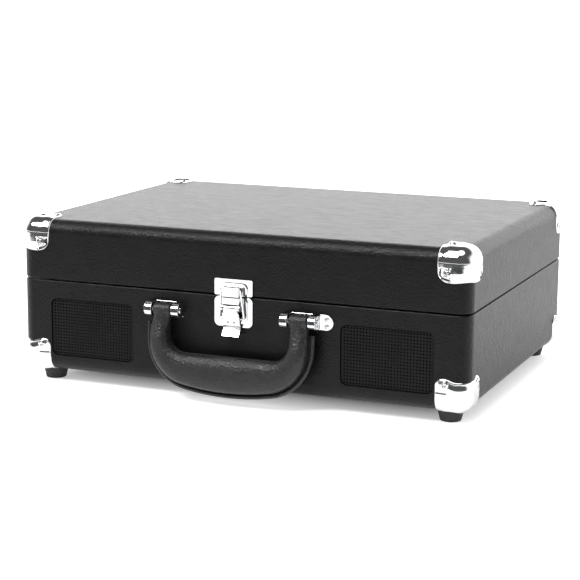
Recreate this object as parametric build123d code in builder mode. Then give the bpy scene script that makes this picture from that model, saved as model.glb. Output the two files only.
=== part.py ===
from build123d import *
import math
import os

# A suitcase record player: a leatherette case in two halves, hinged at the rear, with
# chrome corners, a carrying handle, a draw latch, and a belt-drive deck inside.
# Millimetres. +Z is up, +X is the owner's right, the latch and handle face -Y.
# The origin is on the table, under the middle of the whole object's outline.

os.makedirs("parts", exist_ok=True)

# ---- Case ----
case_w = 355.0
case_d = 262.0
case_h = 115.6
corner_r = 10.5
edge_r = 10.0
wall = 6.0
lower_wall = 8.0
floor_t = 5.0
roof_t = 5.0
lining_t = 1.0
foot_h = 9.6
seam_z = 79.7
seam_gap = 0.8

# ---- Handle and its brackets ----
pivot_out = 6.7
pivot_z = 66.6
handle_tilt = 6.5
handle_half = 66.0
grip_inset = 3.8
gap_half = 48.0
gap_drop = 30.3
gap_turn = 14.0
leg_top = -9.0
barrel_r = 4.9
handle_pin_r = 2.2
lip_back = 3.0
lip_front = 1.0
grip_front = 9.5
bracket_x = 53.7
leg_half = 7.5
ear_in = 7.9
ear_out = 13.8
ear_r = 5.3

# ---- Rear hinges ----
hinge_out = 3.6
knuckle_r = 3.4
hinge_x = 110.0

# The handle reaches further out in front than the hinges do behind, so the case sits
# a little behind the origin, and the whole outline is centred on it.
tilt = math.radians(handle_tilt)
grip_low = 52.2
front_reach = pivot_out + grip_low * math.sin(tilt) + grip_front * math.cos(tilt)
rear_reach = hinge_out + knuckle_r
case_y = (front_reach - rear_reach) / 2
front_y = case_y - case_d / 2
rear_y = case_y + case_d / 2
base_top = seam_z - seam_gap / 2
lid_bottom = seam_z + seam_gap / 2
case_top = foot_h + case_h
floor_top = foot_h + floor_t
hinge_y = rear_y + hinge_out

# ---- Deck and record drive ----
deck_t = 2.5
deck_under = 66.0
deck_top = deck_under + deck_t
platter_x = -40.0
platter_y = case_y + 4.0
platter_r = 95.0
platter_top = 79.0
mat_t = 1.5
mat_top = platter_top + mat_t
journal_r = 4.0
spindle_r = 3.6
spindle_top = 90.5
drive_r = 62.0
pulley_r = 5.0
belt_t = 1.0
motor_x = platter_x - 55.0
motor_y = platter_y + 55.0

# ---- Tonearm ----
arm_x = 122.0
arm_y = case_y + 78.0
arm_z = 92.0
arm_r = 4.0
tube_len = 163.0
offset_deg = 22.0
rest_y = arm_y - 120.0

# ---- Grilles, latch, corners ----
grille_x = 117.15
grille_z = 43.9
grille_w = 69.5
grille_h = 44.2
latch_half = 15.0
latch_low = 57.1
latch_high = 92.1
plate_t = 1.2
boss_t = 1.4
lever_y = front_y - 5.5
lever_z = 71.7
bail_foot_y = front_y - 3.9
bail_foot_z = 63.5
bail_top_y = front_y - 6.2
bail_top_z = 86.4
wire_r = 0.85
tab = 25.0
skin = 0.9
foot_x = 159.5
foot_y = 112.2

# ---- Screws ----
shank_r = 1.3
shank_len = 4.5
front_screw_x = 160.3
side_screw_in = 18.4
roof_screw_x = 157.6
roof_screw_in = 21.0
lid_screw_z = 107.6
base_screw_z = 29.8
bottom_shank_r = 1.6
bottom_head_r = 3.0
bottom_head_h = 1.6
deck_shank_r = 1.5

# ---- Fits ----
running = 0.05


def save(piece, name):
    """Label a finished piece and write it as its own file."""
    piece.part.label = name
    export_step(piece.part, f"parts/{name}.step")


def facing_front(y):
    """Upright plane at y. Its local x is +X, its local y is +Z, it extrudes to the front."""
    return Plane.XZ.offset(-y)


def facing_side(x):
    """Upright plane at x. Its local x is +Y, its local y is +Z, it extrudes to the right."""
    return Plane.YZ.offset(x)


def level(z):
    """Level plane at z. It extrudes upward."""
    return Plane.XY.offset(z)


def case_block(grow):
    """The whole closed case as one solid, grown outward by grow."""
    with BuildPart() as block:
        with BuildSketch(level(foot_h - grow)):
            with Locations((0, case_y)):
                RectangleRounded(case_w + 2 * grow, case_d + 2 * grow, corner_r + grow)
        extrude(amount=case_h + 2 * grow)
        fillet(block.faces().sort_by(Axis.Z)[-1].edges(), edge_r + grow)
        fillet(block.faces().sort_by(Axis.Z)[0].edges(), edge_r + grow)
    return block.part


def inside(margin, radius):
    """A rounded rectangle set in from the case's outline, in the current sketch."""
    with Locations((0, case_y)):
        RectangleRounded(case_w - 2 * margin, case_d - 2 * margin, radius)


# ---- Where the corner screws go ----
# Each place is a point on the case's face and the direction that the screw's head faces.


def screw_places(z, flat_z, flat_dir):
    """The screws of four corner protectors: one on each upright tab, and on the flat tab."""
    places = []
    for side in (-1, 1):
        for end in (-1, 1):
            end_y = case_y + end * case_d / 2
            places.append(Plane((side * front_screw_x, end_y, z), z_dir=(0, end, 0)))
            places.append(Plane((side * case_w / 2, end_y - end * side_screw_in, z), z_dir=(side, 0, 0)))
            if flat_dir:
                flat_y = end_y - end * roof_screw_in
                places.append(Plane((side * roof_screw_x, flat_y, flat_z), z_dir=(0, 0, flat_dir)))
    return places


lid_screw_places = screw_places(lid_screw_z, case_top, 1)
base_screw_places = screw_places(base_screw_z, foot_h, 0)
foot_places = [(sx * foot_x, case_y + sy * foot_y) for sx in (-1, 1) for sy in (-1, 1)]


def shanks(places):
    """Screw shanks that run into the wall from just under the head."""
    with BuildPart() as shafts:
        for place in places:
            with BuildSketch(place.offset(-shank_len)):
                Circle(shank_r)
            extrude(amount=shank_len + skin)
    return shafts.part


def pan_screws(places):
    """Pan-head screws seated on the corner protectors."""
    with BuildPart() as screws:
        add(shanks(places))
        for place in places:
            with BuildSketch(place.offset(skin)):
                Circle(3.1)
            extrude(amount=1.4, taper=25)
            with BuildSketch(place.offset(skin + 0.9)):
                Rectangle(3.6, 0.7)
                Rectangle(0.7, 3.6)
            extrude(amount=1.0, mode=Mode.SUBTRACT)
    return screws


# ==== Base half of the case ====

service_x = -40.0
service_w = 190.0
service_d = 120.0
service_rebate = 4.0
service_screw_places = [
    (service_x + sx * (service_w / 2 - 5), case_y + sy * (service_d / 2 - 5))
    for sx in (-1, 1)
    for sy in (-1, 1)
]
panel_x = 95.0
panel_z = 36.0
panel_w = 74.0
panel_h = 24.0

with BuildPart() as base_shell:
    add(case_block(0))
    split(bisect_by=level(base_top), keep=Keep.BOTTOM)
    with BuildSketch(level(floor_top)):
        inside(lower_wall, corner_r - wall)
    extrude(amount=deck_under - floor_top, mode=Mode.SUBTRACT)
    with BuildSketch(level(deck_under)):
        inside(wall, corner_r - wall)
    extrude(amount=base_top - deck_under + 1, mode=Mode.SUBTRACT)
    # Windows for the two speakers
    with BuildSketch(facing_front(front_y - 1)):
        with Locations((-grille_x, grille_z), (grille_x, grille_z)):
            RectangleRounded(grille_w, grille_h, 5)
    extrude(amount=-(lower_wall + 2), mode=Mode.SUBTRACT)
    # Window for the rear sockets
    with BuildSketch(facing_front(rear_y + 1)):
        with Locations((panel_x, panel_z)):
            RectangleRounded(panel_w - 10, panel_h - 6, 3)
    extrude(amount=lower_wall + 2, mode=Mode.SUBTRACT)
    # Service opening with a rebate for its cover
    with BuildSketch(level(foot_h - 1)):
        with Locations((service_x, case_y)):
            RectangleRounded(service_w - 20, service_d - 20, 6)
    extrude(amount=floor_t + 2, mode=Mode.SUBTRACT)
    with BuildSketch(level(foot_h - 1)):
        with Locations((service_x, case_y)):
            RectangleRounded(service_w, service_d, 8)
    extrude(amount=service_rebate, mode=Mode.SUBTRACT)
    add(shanks(base_screw_places), mode=Mode.SUBTRACT)
    # Screw holes under the feet and round the service cover
    with BuildSketch(level(foot_h)):
        with Locations(*foot_places, *service_screw_places):
            Circle(bottom_shank_r)
    extrude(amount=shank_len, mode=Mode.SUBTRACT)
save(base_shell, "base_shell")

vent_pitch = 12.0
vent_count = 6
vent_len = 36.0
vent_w = 4.0

with BuildPart() as service_cover:
    with BuildSketch(level(foot_h)):
        with Locations((service_x, case_y)):
            RectangleRounded(service_w - 0.6, service_d - 0.6, 7.7)
            with GridLocations(vent_pitch, 0, vent_count, 1):
                SlotOverall(vent_len, vent_w, rotation=90, mode=Mode.SUBTRACT)
        with Locations(*service_screw_places):
            Circle(bottom_shank_r, mode=Mode.SUBTRACT)
    extrude(amount=3)
save(service_cover, "service_cover")

foot_low_r = 7.7
foot_taper = -16
pocket_r = 3.4
pocket_h = 4.2

with BuildPart() as feet:
    with BuildSketch(level(0)):
        with Locations(*foot_places):
            Circle(foot_low_r)
    extrude(amount=foot_h - skin, taper=foot_taper)
    with BuildSketch(level(0)):
        with Locations(*foot_places):
            Circle(pocket_r)
    extrude(amount=pocket_h, mode=Mode.SUBTRACT)
    with BuildSketch(level(0)):
        with Locations(*foot_places):
            Circle(bottom_shank_r)
    extrude(amount=foot_h, mode=Mode.SUBTRACT)
save(feet, "feet")

foot_head_h = 2.0

with BuildPart() as bottom_screws:
    with BuildSketch(level(pocket_h - foot_head_h)):
        with Locations(*foot_places):
            Circle(bottom_head_r)
    extrude(amount=foot_head_h)
    with BuildSketch(level(pocket_h)):
        with Locations(*foot_places):
            Circle(bottom_shank_r)
    extrude(amount=foot_h)
    with BuildSketch(level(foot_h - bottom_head_h)):
        with Locations(*service_screw_places):
            Circle(bottom_head_r)
    extrude(amount=bottom_head_h)
    with BuildSketch(level(foot_h)):
        with Locations(*service_screw_places):
            Circle(bottom_shank_r)
    extrude(amount=shank_len)
save(bottom_screws, "bottom_screws")


def corner_protectors(low, high, flat_low, flat_high, flat, screws):
    """Four stamped corners: the skin over the case's corner, between two heights.

    The flat tab, on the roof or under the floor, reaches flat millimetres in.
    Screws are the places of the screws that pass through the tabs.
    """
    with BuildPart() as corners:
        for side in (-1, 1):
            for end in (-1, 1):
                corner = (side * (case_w / 2 + 2), case_y + end * (case_d / 2 + 2))
                with BuildSketch(level(low)):
                    with Locations(corner):
                        Rectangle(2 * (tab + 2), 2 * (tab + 2))
                extrude(amount=high - low)
                with BuildSketch(level(flat_low)):
                    with Locations(corner):
                        Rectangle(2 * (flat + 2), 2 * (flat + 2))
                extrude(amount=flat_high - flat_low)
        add(case_block(skin), mode=Mode.INTERSECT)
        add(case_block(0), mode=Mode.SUBTRACT)
        add(shanks(screws), mode=Mode.SUBTRACT)
        # The feet's screws pass through the lower corners' flat tabs
        with BuildSketch(level(foot_h - 2)):
            with Locations(*foot_places):
                Circle(bottom_shank_r)
        extrude(amount=4, mode=Mode.SUBTRACT)
    return corners


base_corner_protectors = corner_protectors(
    foot_h - 2, foot_h + tab, foot_h - 2, foot_h + 0.5, 30.0, base_screw_places
)
save(base_corner_protectors, "base_corner_protectors")

base_protector_screws = pan_screws(base_screw_places)
save(base_protector_screws, "base_protector_screws")

# ==== Speakers ====

speaker_z = 40.4
speaker_y = front_y + lower_wall

with BuildPart() as speaker_grilles:
    with BuildSketch(facing_front(front_y + 1.0)):
        with Locations((-grille_x, grille_z), (grille_x, grille_z)):
            RectangleRounded(grille_w, grille_h, 5)
    extrude(amount=-1.6)
save(speaker_grilles, "speaker_grilles")


def turned_pair(outline):
    """Turn an outline of (depth, radius) points about the axis of each speaker."""
    with BuildPart() as pair:
        for side in (-1, 1):
            centre = (side * grille_x, speaker_y, speaker_z)
            with BuildSketch(Plane(centre, x_dir=(0, 1, 0), z_dir=(1, 0, 0))):
                with BuildLine():
                    Polyline(*outline, close=True)
                make_face()
            revolve(axis=Axis(centre, (0, 1, 0)))
    return pair


speaker_baskets = turned_pair(
    [
        (0, 20.4),
        (0, 24.5),
        (1.6, 24.5),
        (3, 22.4),
        (12, 13.2),
        (12, 9),
        (10.9, 9),
        (10.9, 12),
        (1.6, 20.4),
    ]
)
save(speaker_baskets, "speaker_baskets")

speaker_cones = turned_pair([(0.4, 20.2), (1.2, 20.2), (9.4, 8.5), (10.8, 7), (10.8, 0), (7.6, 0), (8.4, 7)])
save(speaker_cones, "speaker_cones")

speaker_magnets = turned_pair([(12, 0), (12, 16), (15, 17.5), (24, 17.5), (24, 6), (26, 5), (26, 0)])
save(speaker_magnets, "speaker_magnets")

# ==== Lid half of the case ====

stay_u = 21.7
stay_v = 6.4
stay_y = hinge_y - stay_u
stay_low_z = seam_z - stay_v
stay_high_z = seam_z + stay_v
stay_x = 161.0
stay_t = 1.5
lid_travel = 90.0

with BuildPart() as lid_shell:
    add(case_block(0))
    split(bisect_by=level(lid_bottom), keep=Keep.TOP)
    with BuildSketch(level(lid_bottom - 1)):
        inside(wall, corner_r - wall)
    extrude(amount=case_top - roof_t - lid_bottom + 1, mode=Mode.SUBTRACT)
    add(shanks(lid_screw_places), mode=Mode.SUBTRACT)
save(lid_shell, "lid_shell")

with BuildPart() as lid_lining:
    with BuildSketch(level(lid_bottom + 1)):
        inside(wall, corner_r - wall)
    extrude(amount=case_top - roof_t - lid_bottom - 1)
    with BuildSketch(level(lid_bottom)):
        inside(wall + lining_t, corner_r - wall - lining_t)
    extrude(amount=case_top - roof_t - lining_t - lid_bottom, mode=Mode.SUBTRACT)
    with BuildSketch(facing_side(160)):
        with Locations((stay_y, stay_high_z)):
            Circle(2)
    extrude(amount=20, mode=Mode.SUBTRACT)
save(lid_lining, "lid_lining")

lid_corner_protectors = corner_protectors(
    case_top - tab, case_top + 2, case_top - 0.5, case_top + 2, 28.0, lid_screw_places
)
save(lid_corner_protectors, "lid_corner_protectors")

lid_protector_screws = pan_screws(lid_screw_places)
save(lid_protector_screws, "lid_protector_screws")

# ==== Rear hinges ====

leaf_w = 38.0
leaf_h = 15.0
knuckle_w = 12.4
leaf_screws = [(side * hinge_x + dx) for side in (-1, 1) for dx in (-12.0, 12.0)]


def leaf(sign, spans, bore, clear_spans):
    """Two hinge leaves, below (sign -1) or above (+1) the pin, with knuckles over the spans.

    The leaf is cut back round the other leaf's knuckles, which are over clear_spans.
    """
    with BuildPart() as leaves:
        for side in (-1, 1):
            with BuildSketch(facing_front(rear_y)):
                with Locations((side * hinge_x, seam_z + sign * (leaf_h / 2 + 0.8))):
                    RectangleRounded(leaf_w, leaf_h, 1.5)
            extrude(amount=-plate_t)
            for low, high in clear_spans:
                with BuildSketch(facing_side(side * hinge_x + low)):
                    with Locations((hinge_y, seam_z)):
                        Circle(knuckle_r + 0.4)
                extrude(amount=high - low, mode=Mode.SUBTRACT)
            for low, high in spans:
                with BuildSketch(facing_side(side * hinge_x + low)):
                    with Locations((hinge_y, seam_z)):
                        Circle(knuckle_r)
                    with Locations((rear_y + plate_t / 2 + 0.1, seam_z + sign * 2)):
                        Rectangle(plate_t - 0.2, 4)
                extrude(amount=high - low)
            with BuildSketch(facing_side(side * hinge_x - leaf_w / 2)):
                with Locations((hinge_y, seam_z)):
                    Circle(bore)
            extrude(amount=leaf_w, mode=Mode.SUBTRACT)
        with BuildSketch(facing_front(rear_y)):
            with Locations(*[(x, seam_z + sign * 10) for x in leaf_screws]):
                Circle(1.5)
        extrude(amount=-3, mode=Mode.SUBTRACT)
    return leaves


outer_spans = [(-leaf_w / 2, -knuckle_w / 2 - 0.3), (knuckle_w / 2 + 0.3, leaf_w / 2)]
middle_span = [(-knuckle_w / 2, knuckle_w / 2)]
hinge_pin_r = 2.0

hinge_base_leaves = leaf(-1, outer_spans, hinge_pin_r, [(-knuckle_w / 2 - 0.3, knuckle_w / 2 + 0.3)])
save(hinge_base_leaves, "hinge_base_leaves")

grown_outer_spans = [(low - 0.3, high + 0.3) for low, high in outer_spans]
hinge_lid_leaves = leaf(1, middle_span, hinge_pin_r + running, grown_outer_spans)
save(hinge_lid_leaves, "hinge_lid_leaves")

with BuildPart() as hinge_pins:
    for side in (-1, 1):
        with BuildSketch(facing_side(side * hinge_x - leaf_w / 2)):
            with Locations((hinge_y, seam_z)):
                Circle(hinge_pin_r)
        extrude(amount=leaf_w)
save(hinge_pins, "hinge_pins")


def leaf_screw_heads(sign):
    """Round-head screws that hold the hinge leaves to the rear wall."""
    with BuildPart() as screws:
        with BuildSketch(facing_front(rear_y + plate_t)):
            with Locations(*[(x, seam_z + sign * 10) for x in leaf_screws]):
                Circle(2.8)
        extrude(amount=-1.2, taper=20)
        with BuildSketch(facing_front(rear_y)):
            with Locations(*[(x, seam_z + sign * 10) for x in leaf_screws]):
                Circle(1.5)
        extrude(amount=-plate_t)
    return screws


hinge_base_screws = leaf_screw_heads(-1)
save(hinge_base_screws, "hinge_base_screws")

hinge_lid_screws = leaf_screw_heads(1)
save(hinge_lid_screws, "hinge_lid_screws")

# ==== Lid stay ====
# The stay's pivot on the base and its pin on the lid are equally far from the hinge pin,
# so the stay turns exactly half as far as the lid, and its straight slot always meets the pin.

stay_r = math.hypot(stay_u, stay_v)
closed_angle = 2 * math.degrees(math.atan2(stay_v, stay_u))
slot_start = 2 * stay_v
slot_end = 2 * stay_r * math.sin(math.radians((closed_angle + lid_travel) / 2))
stay_half_w = 3.8
pin_r = 2.0

with BuildPart() as lid_stay:
    with BuildSketch(facing_side(stay_x)):
        with Locations((stay_y, stay_low_z + slot_end / 2)):
            SlotCenterToCenter(slot_end, 2 * stay_half_w, rotation=90)
        with Locations((stay_y, stay_low_z)):
            Circle(pin_r + running, mode=Mode.SUBTRACT)
        with Locations((stay_y, stay_low_z + (slot_start + slot_end) / 2)):
            SlotCenterToCenter(slot_end - slot_start, 2 * pin_r + 0.6, rotation=90, mode=Mode.SUBTRACT)
    extrude(amount=stay_t)
save(lid_stay, "lid_stay")


def stay_pin(z):
    """A shouldered pin that stands in from the right-hand wall through the stay."""
    with BuildPart() as pin:
        with BuildSketch(facing_side(stay_x - 0.3)):
            with Locations((stay_y, z)):
                Circle(pin_r)
        extrude(amount=case_w / 2 - wall - stay_x + 0.3)
        with BuildSketch(facing_side(stay_x - 0.3)):
            with Locations((stay_y, z)):
                Circle(3.4)
        extrude(amount=-1.3)
    return pin


stay_base_pin = stay_pin(stay_low_z)
save(stay_base_pin, "stay_base_pin")

stay_lid_pin = stay_pin(stay_high_z)
save(stay_lid_pin, "stay_lid_pin")

# ==== Carrying handle ====

bracket_sides = [-1, 1]
flange_out = bracket_x + ear_out + 5
foot_plate_h = 11.4
rivet_r = 0.9
rivet_head_r = 1.7
# The right bracket is riveted through a flange beside its ears, the left one between them.
flange_rivets = [(flange_out, pivot_z + up) for up in (2.2, -3.0)]
flush_rivets = [(-bracket_x, pivot_z + up) for up in (2.2, -3.0)]

with BuildPart() as handle_brackets:
    with BuildSketch(facing_front(front_y)):
        with Locations((bracket_x + 5, pivot_z - 0.4)):
            SlotOverall(2 * ear_out + 10, foot_plate_h)
        with Locations((-bracket_x, pivot_z - 0.4)):
            RectangleRounded(2 * ear_out, foot_plate_h, 1.5)
    extrude(amount=plate_t)
    for side in bracket_sides:
        for low, high in ((-ear_out, -ear_in), (ear_in, ear_out)):
            with BuildSketch(facing_side(side * bracket_x + low)):
                with Locations((front_y - pivot_out, pivot_z)):
                    Circle(ear_r)
                with Locations((front_y - pivot_out / 2, pivot_z)):
                    Rectangle(pivot_out, 2 * ear_r)
            extrude(amount=high - low)
        with BuildSketch(facing_side(side * bracket_x - 20)):
            with Locations((front_y - pivot_out, pivot_z)):
                Circle(handle_pin_r)
        extrude(amount=40, mode=Mode.SUBTRACT)
    with BuildSketch(facing_front(front_y)):
        with Locations(*flange_rivets, *flush_rivets):
            Circle(rivet_r)
    extrude(amount=plate_t, mode=Mode.SUBTRACT)
save(handle_brackets, "handle_brackets")

with BuildPart() as bracket_rivets:
    with BuildSketch(facing_front(front_y)):
        with Locations(*flange_rivets, *flush_rivets):
            Circle(rivet_r)
    extrude(amount=plate_t)
    with BuildSketch(facing_front(front_y - plate_t)):
        with Locations(*flange_rivets):
            Circle(rivet_head_r)
    extrude(amount=0.7, taper=25)
save(bracket_rivets, "bracket_rivets")

with BuildPart() as handle_pins:
    for side in bracket_sides:
        with BuildSketch(facing_side(side * bracket_x - ear_out)):
            with Locations((front_y - pivot_out, pivot_z)):
                Circle(handle_pin_r)
        extrude(amount=2 * ear_out)
        for end in (-1, 1):
            with BuildSketch(facing_side(side * bracket_x + end * ear_out)):
                with Locations((front_y - pivot_out, pivot_z)):
                    Circle(2.8)
            extrude(amount=end * 0.8, taper=20)
save(handle_pins, "handle_pins")

handle_plane = Plane(
    (0, front_y - pivot_out, pivot_z),
    x_dir=(1, 0, 0),
    z_dir=(0, -math.cos(tilt), math.sin(tilt)),
)

corner_cx = 28.0
corner_cy = -20.0
bow_r = 196.0
bow_cy = 135.5


def handle_outline(inset, top):
    """The outside of the handle, a U with wide corners and a slightly bowed grip."""
    outer = handle_half - inset
    turn_r = outer - corner_cx
    reach = math.hypot(corner_cx, bow_cy - corner_cy)
    join_x = corner_cx + turn_r * corner_cx / reach
    join_y = corner_cy - turn_r * (bow_cy - corner_cy) / reach
    mid_x = corner_cx + turn_r * math.cos(math.radians(40))
    mid_y = corner_cy - turn_r * math.sin(math.radians(40))
    low_y = bow_cy - bow_r + inset
    with BuildSketch() as outline:
        with BuildLine():
            Line((outer, top), (outer, corner_cy))
            ThreePointArc((outer, corner_cy), (mid_x, mid_y), (join_x, join_y))
            ThreePointArc((join_x, join_y), (0, low_y), (-join_x, join_y))
            ThreePointArc((-join_x, join_y), (-mid_x, mid_y), (-outer, corner_cy))
            Line((-outer, corner_cy), (-outer, top))
            Line((-outer, top), (outer, top))
        make_face()
        # The opening that the hand goes through
        with Locations((0, 60 - gap_drop)):
            RectangleRounded(2 * gap_half, 120, gap_turn, mode=Mode.SUBTRACT)
    return outline.sketch


with BuildPart() as handle_back:
    with BuildSketch(handle_plane.offset(-lip_back)):
        add(handle_outline(0, leg_top))
    extrude(amount=lip_back + lip_front)
    chamfer(handle_back.faces().sort_by(Axis.Y)[-1].edges(), 0.8)
save(handle_back, "handle_back")

with BuildPart() as handle_grip:
    with BuildSketch(handle_plane.offset(lip_front)):
        add(handle_outline(grip_inset, leg_top))
    extrude(amount=grip_front - lip_front)
    front_edges = handle_grip.faces().sort_by(Axis.Y)[0].edges()
    fillet(front_edges, 4.5)
    # The legs thin towards the pivots
    with BuildSketch(facing_side(-handle_half)):
        with BuildLine():
            Polyline(
                (front_y - pivot_out - 5.3, pivot_z - 4),
                (front_y - pivot_out - 6.8, pivot_z - 12),
                (front_y - pivot_out - 14, pivot_z - 30),
                (front_y - pivot_out - 30, pivot_z - 30),
                (front_y - pivot_out - 30, pivot_z - 4),
                close=True,
            )
        make_face()
    extrude(amount=2 * handle_half, mode=Mode.SUBTRACT)
    # Pivot barrels and the necks that join them to the legs
    for side in bracket_sides:
        with BuildSketch(facing_side(side * bracket_x - leg_half)):
            with Locations((front_y - pivot_out, pivot_z)):
                Circle(barrel_r)
            with BuildLine():
                Polyline(
                    (front_y - pivot_out + barrel_r, pivot_z),
                    (front_y - pivot_out - barrel_r, pivot_z),
                    (front_y - pivot_out - 6.2, pivot_z - 11),
                    (front_y - pivot_out - 2.9, pivot_z - 11),
                    (front_y - pivot_out - 2.4, pivot_z - 8.6),
                    (front_y - pivot_out + 2.2, pivot_z - 8.2),
                    close=True,
                )
            make_face()
        extrude(amount=2 * leg_half)
        with BuildSketch(facing_side(side * bracket_x - leg_half - 1)):
            with Locations((front_y - pivot_out, pivot_z)):
                Circle(handle_pin_r + running)
        extrude(amount=2 * leg_half + 2, mode=Mode.SUBTRACT)
save(handle_grip, "handle_grip")

# ==== Draw latch ====

bridge_half = 6.6
bridge_out = 7.0
bridge_low = 74.6
bridge_high = 85.2
boss_w = 22.0
boss_low = 60.0
boss_high = 89.4
boss_turn = 4.0
lever_gap = 0.3
lever_half = 6.6
lever_barrel_r = 2.1
lever_holes = [(-2.4, 61.2), (2.4, 61.2), (-4.0, 54.0), (0.0, 54.0), (4.0, 54.0)]
bail_foot_x = 10.3
bail_top_x = 8.0
bail_turn = 1.6
ear_low = 5.7
ear_high = 7.3
latch_pin_r = 1.2
bail_end = 5.6

with BuildPart() as latch_base_plate:
    with BuildSketch(facing_front(front_y)) as plate_face:
        with Locations((0, (latch_low + base_top) / 2)):
            Rectangle(2 * latch_half, base_top - latch_low)
        fillet(plate_face.vertices().group_by(Axis.Z)[0], boss_turn)
    extrude(amount=plate_t)
    with BuildSketch(facing_front(front_y - plate_t)) as boss_face:
        with Locations((0, (boss_low + base_top) / 2)):
            Rectangle(boss_w, base_top - boss_low)
        fillet(boss_face.vertices().group_by(Axis.Z)[0], boss_turn)
    extrude(amount=boss_t)
    with BuildSketch(facing_front(front_y)):
        with Locations((0, (bridge_low + base_top) / 2)):
            Rectangle(2 * bridge_half, base_top - bridge_low)
    extrude(amount=bridge_out)
    for low in (-ear_high, ear_low):
        with BuildSketch(facing_side(low)):
            with Locations((lever_y, lever_z)):
                Circle(2.6)
            with Locations(((lever_y + front_y) / 2, lever_z)):
                Rectangle(front_y - lever_y, 4.4)
        extrude(amount=ear_high - ear_low)
    with BuildSketch(facing_side(-12)):
        with Locations((lever_y, lever_z)):
            Circle(latch_pin_r)
    extrude(amount=24, mode=Mode.SUBTRACT)
save(latch_base_plate, "latch_base_plate")

with BuildPart() as latch_pin:
    with BuildSketch(facing_side(-ear_high)):
        with Locations((lever_y, lever_z)):
            Circle(latch_pin_r)
    extrude(amount=2 * ear_high)
save(latch_pin, "latch_pin")

with BuildPart() as latch_lever:
    # Barrel on the pin
    with BuildSketch(facing_side(-ear_low + lever_gap)):
        with Locations((lever_y, lever_z)):
            Circle(lever_barrel_r)
    extrude(amount=2 * (ear_low - lever_gap))
    # Neck, plate and flared tail, as a bent strip
    with BuildSketch(facing_side(-ear_low + lever_gap)):
        with BuildLine():
            Polyline(
                (front_y - 7.6, lever_z),
                (front_y - 6.9, lever_z - 4),
                (front_y - 5.9, lever_z - 4),
                (front_y - 6.0, lever_z),
                close=True,
            )
        make_face()
    extrude(amount=2 * (ear_low - lever_gap))
    with BuildSketch(facing_side(-lever_half)):
        with BuildLine():
            Polyline(
                (front_y - 6.9, lever_z - 3.6),
                (front_y - 4.9, 58.6),
                (front_y - 3.4, 56.4),
                (front_y - 7.4, 51.2),
                (front_y - 6.7, 50.6),
                (front_y - 2.2, 56.2),
                (front_y - 3.9, 58.9),
                (front_y - 5.9, lever_z - 3.6),
                close=True,
            )
        make_face()
    extrude(amount=2 * lever_half)
    # Cheeks that hold the bail's ends
    for low in (-lever_half, lever_half - 1.2):
        with BuildSketch(facing_side(low)):
            with Locations((bail_foot_y - 0.1, bail_foot_z)):
                Circle(1.2)
            with Locations((bail_foot_y - 0.9, bail_foot_z)):
                Rectangle(1.4, 2.4)
        extrude(amount=1.2)
    with BuildSketch(facing_side(-12)):
        with Locations((lever_y, lever_z)):
            Circle(latch_pin_r + running)
        with Locations((bail_foot_y, bail_foot_z)):
            Circle(wire_r + running)
    extrude(amount=24, mode=Mode.SUBTRACT)
    with BuildSketch(facing_front(front_y)):
        with Locations(*lever_holes):
            Circle(0.6)
    extrude(amount=12, mode=Mode.SUBTRACT)
save(latch_lever, "latch_lever")

with BuildPart() as latch_bail:
    with BuildLine():
        FilletPolyline(
            (-bail_end, bail_foot_y, bail_foot_z),
            (-bail_foot_x, bail_foot_y, bail_foot_z),
            (-bail_top_x, bail_top_y, bail_top_z),
            (bail_top_x, bail_top_y, bail_top_z),
            (bail_foot_x, bail_foot_y, bail_foot_z),
            (bail_end, bail_foot_y, bail_foot_z),
            radius=bail_turn,
        )
    with BuildSketch(facing_side(-bail_end)):
        with Locations((bail_foot_y, bail_foot_z)):
            Circle(wire_r)
    sweep()
save(latch_bail, "latch_bail")

with BuildPart() as latch_keeper:
    with BuildSketch(facing_front(front_y)) as keeper_face:
        with Locations((0, (lid_bottom + latch_high) / 2)):
            Rectangle(2 * latch_half, latch_high - lid_bottom)
        fillet(keeper_face.vertices().group_by(Axis.Z)[-1], 1.2)
    extrude(amount=plate_t)
    with BuildSketch(facing_front(front_y - plate_t)) as keeper_boss:
        with Locations((0, (lid_bottom + boss_high) / 2)):
            Rectangle(boss_w, boss_high - lid_bottom)
        fillet(keeper_boss.vertices().group_by(Axis.Z)[-1], boss_turn)
    extrude(amount=boss_t)
    with BuildSketch(facing_front(front_y)):
        with Locations((0, (lid_bottom + bridge_high) / 2)):
            Rectangle(2 * bridge_half, bridge_high - lid_bottom)
    extrude(amount=bridge_out)
    # The hook is a bent tongue with a slot behind its face
    with BuildSketch(facing_side(-bridge_half)):
        with Locations((front_y - 4.3, 84.2)):
            Rectangle(2.6, 3)
    extrude(amount=2 * bridge_half, mode=Mode.SUBTRACT)
save(latch_keeper, "latch_keeper")

# ==== Deck ====

volume_at = (152.0, case_y - 98.0)
selector_at = (152.0, case_y - 66.0)
speed_at = (152.0, case_y - 26.0)
stop_at = (152.0, case_y + 12.0)
speed_travel = 16.0
stop_travel = 7.0
jack_places = [(100.0, case_y - 112.0), (78.0, case_y - 112.0)]
led_at = (122.0, case_y - 112.0)
adapter_at = (-146.0, case_y - 100.0)
cue_x = arm_x + 29.0
cue_y = arm_y - 10.0
cue_z = 74.5
knob_shaft_r = 3.0
stem_low = 60.0
bearing_r = 9.0
motor_hole_r = 7.0
jack_r = 4.4
led_r = 1.6
adapter_r = 19.0
cue_pin_r = 1.5
platter_under = 71.0
hub_r = 12.0
motor_low = 34.0
motor_r = 15.0
motor_plate_t = 1.5
shaft_r = 1.0
deck_screw_places = [(sx * 164.0, case_y + dy) for sx in (-1, 1) for dy in (-118.0, 0.0, 84.0)]

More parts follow.
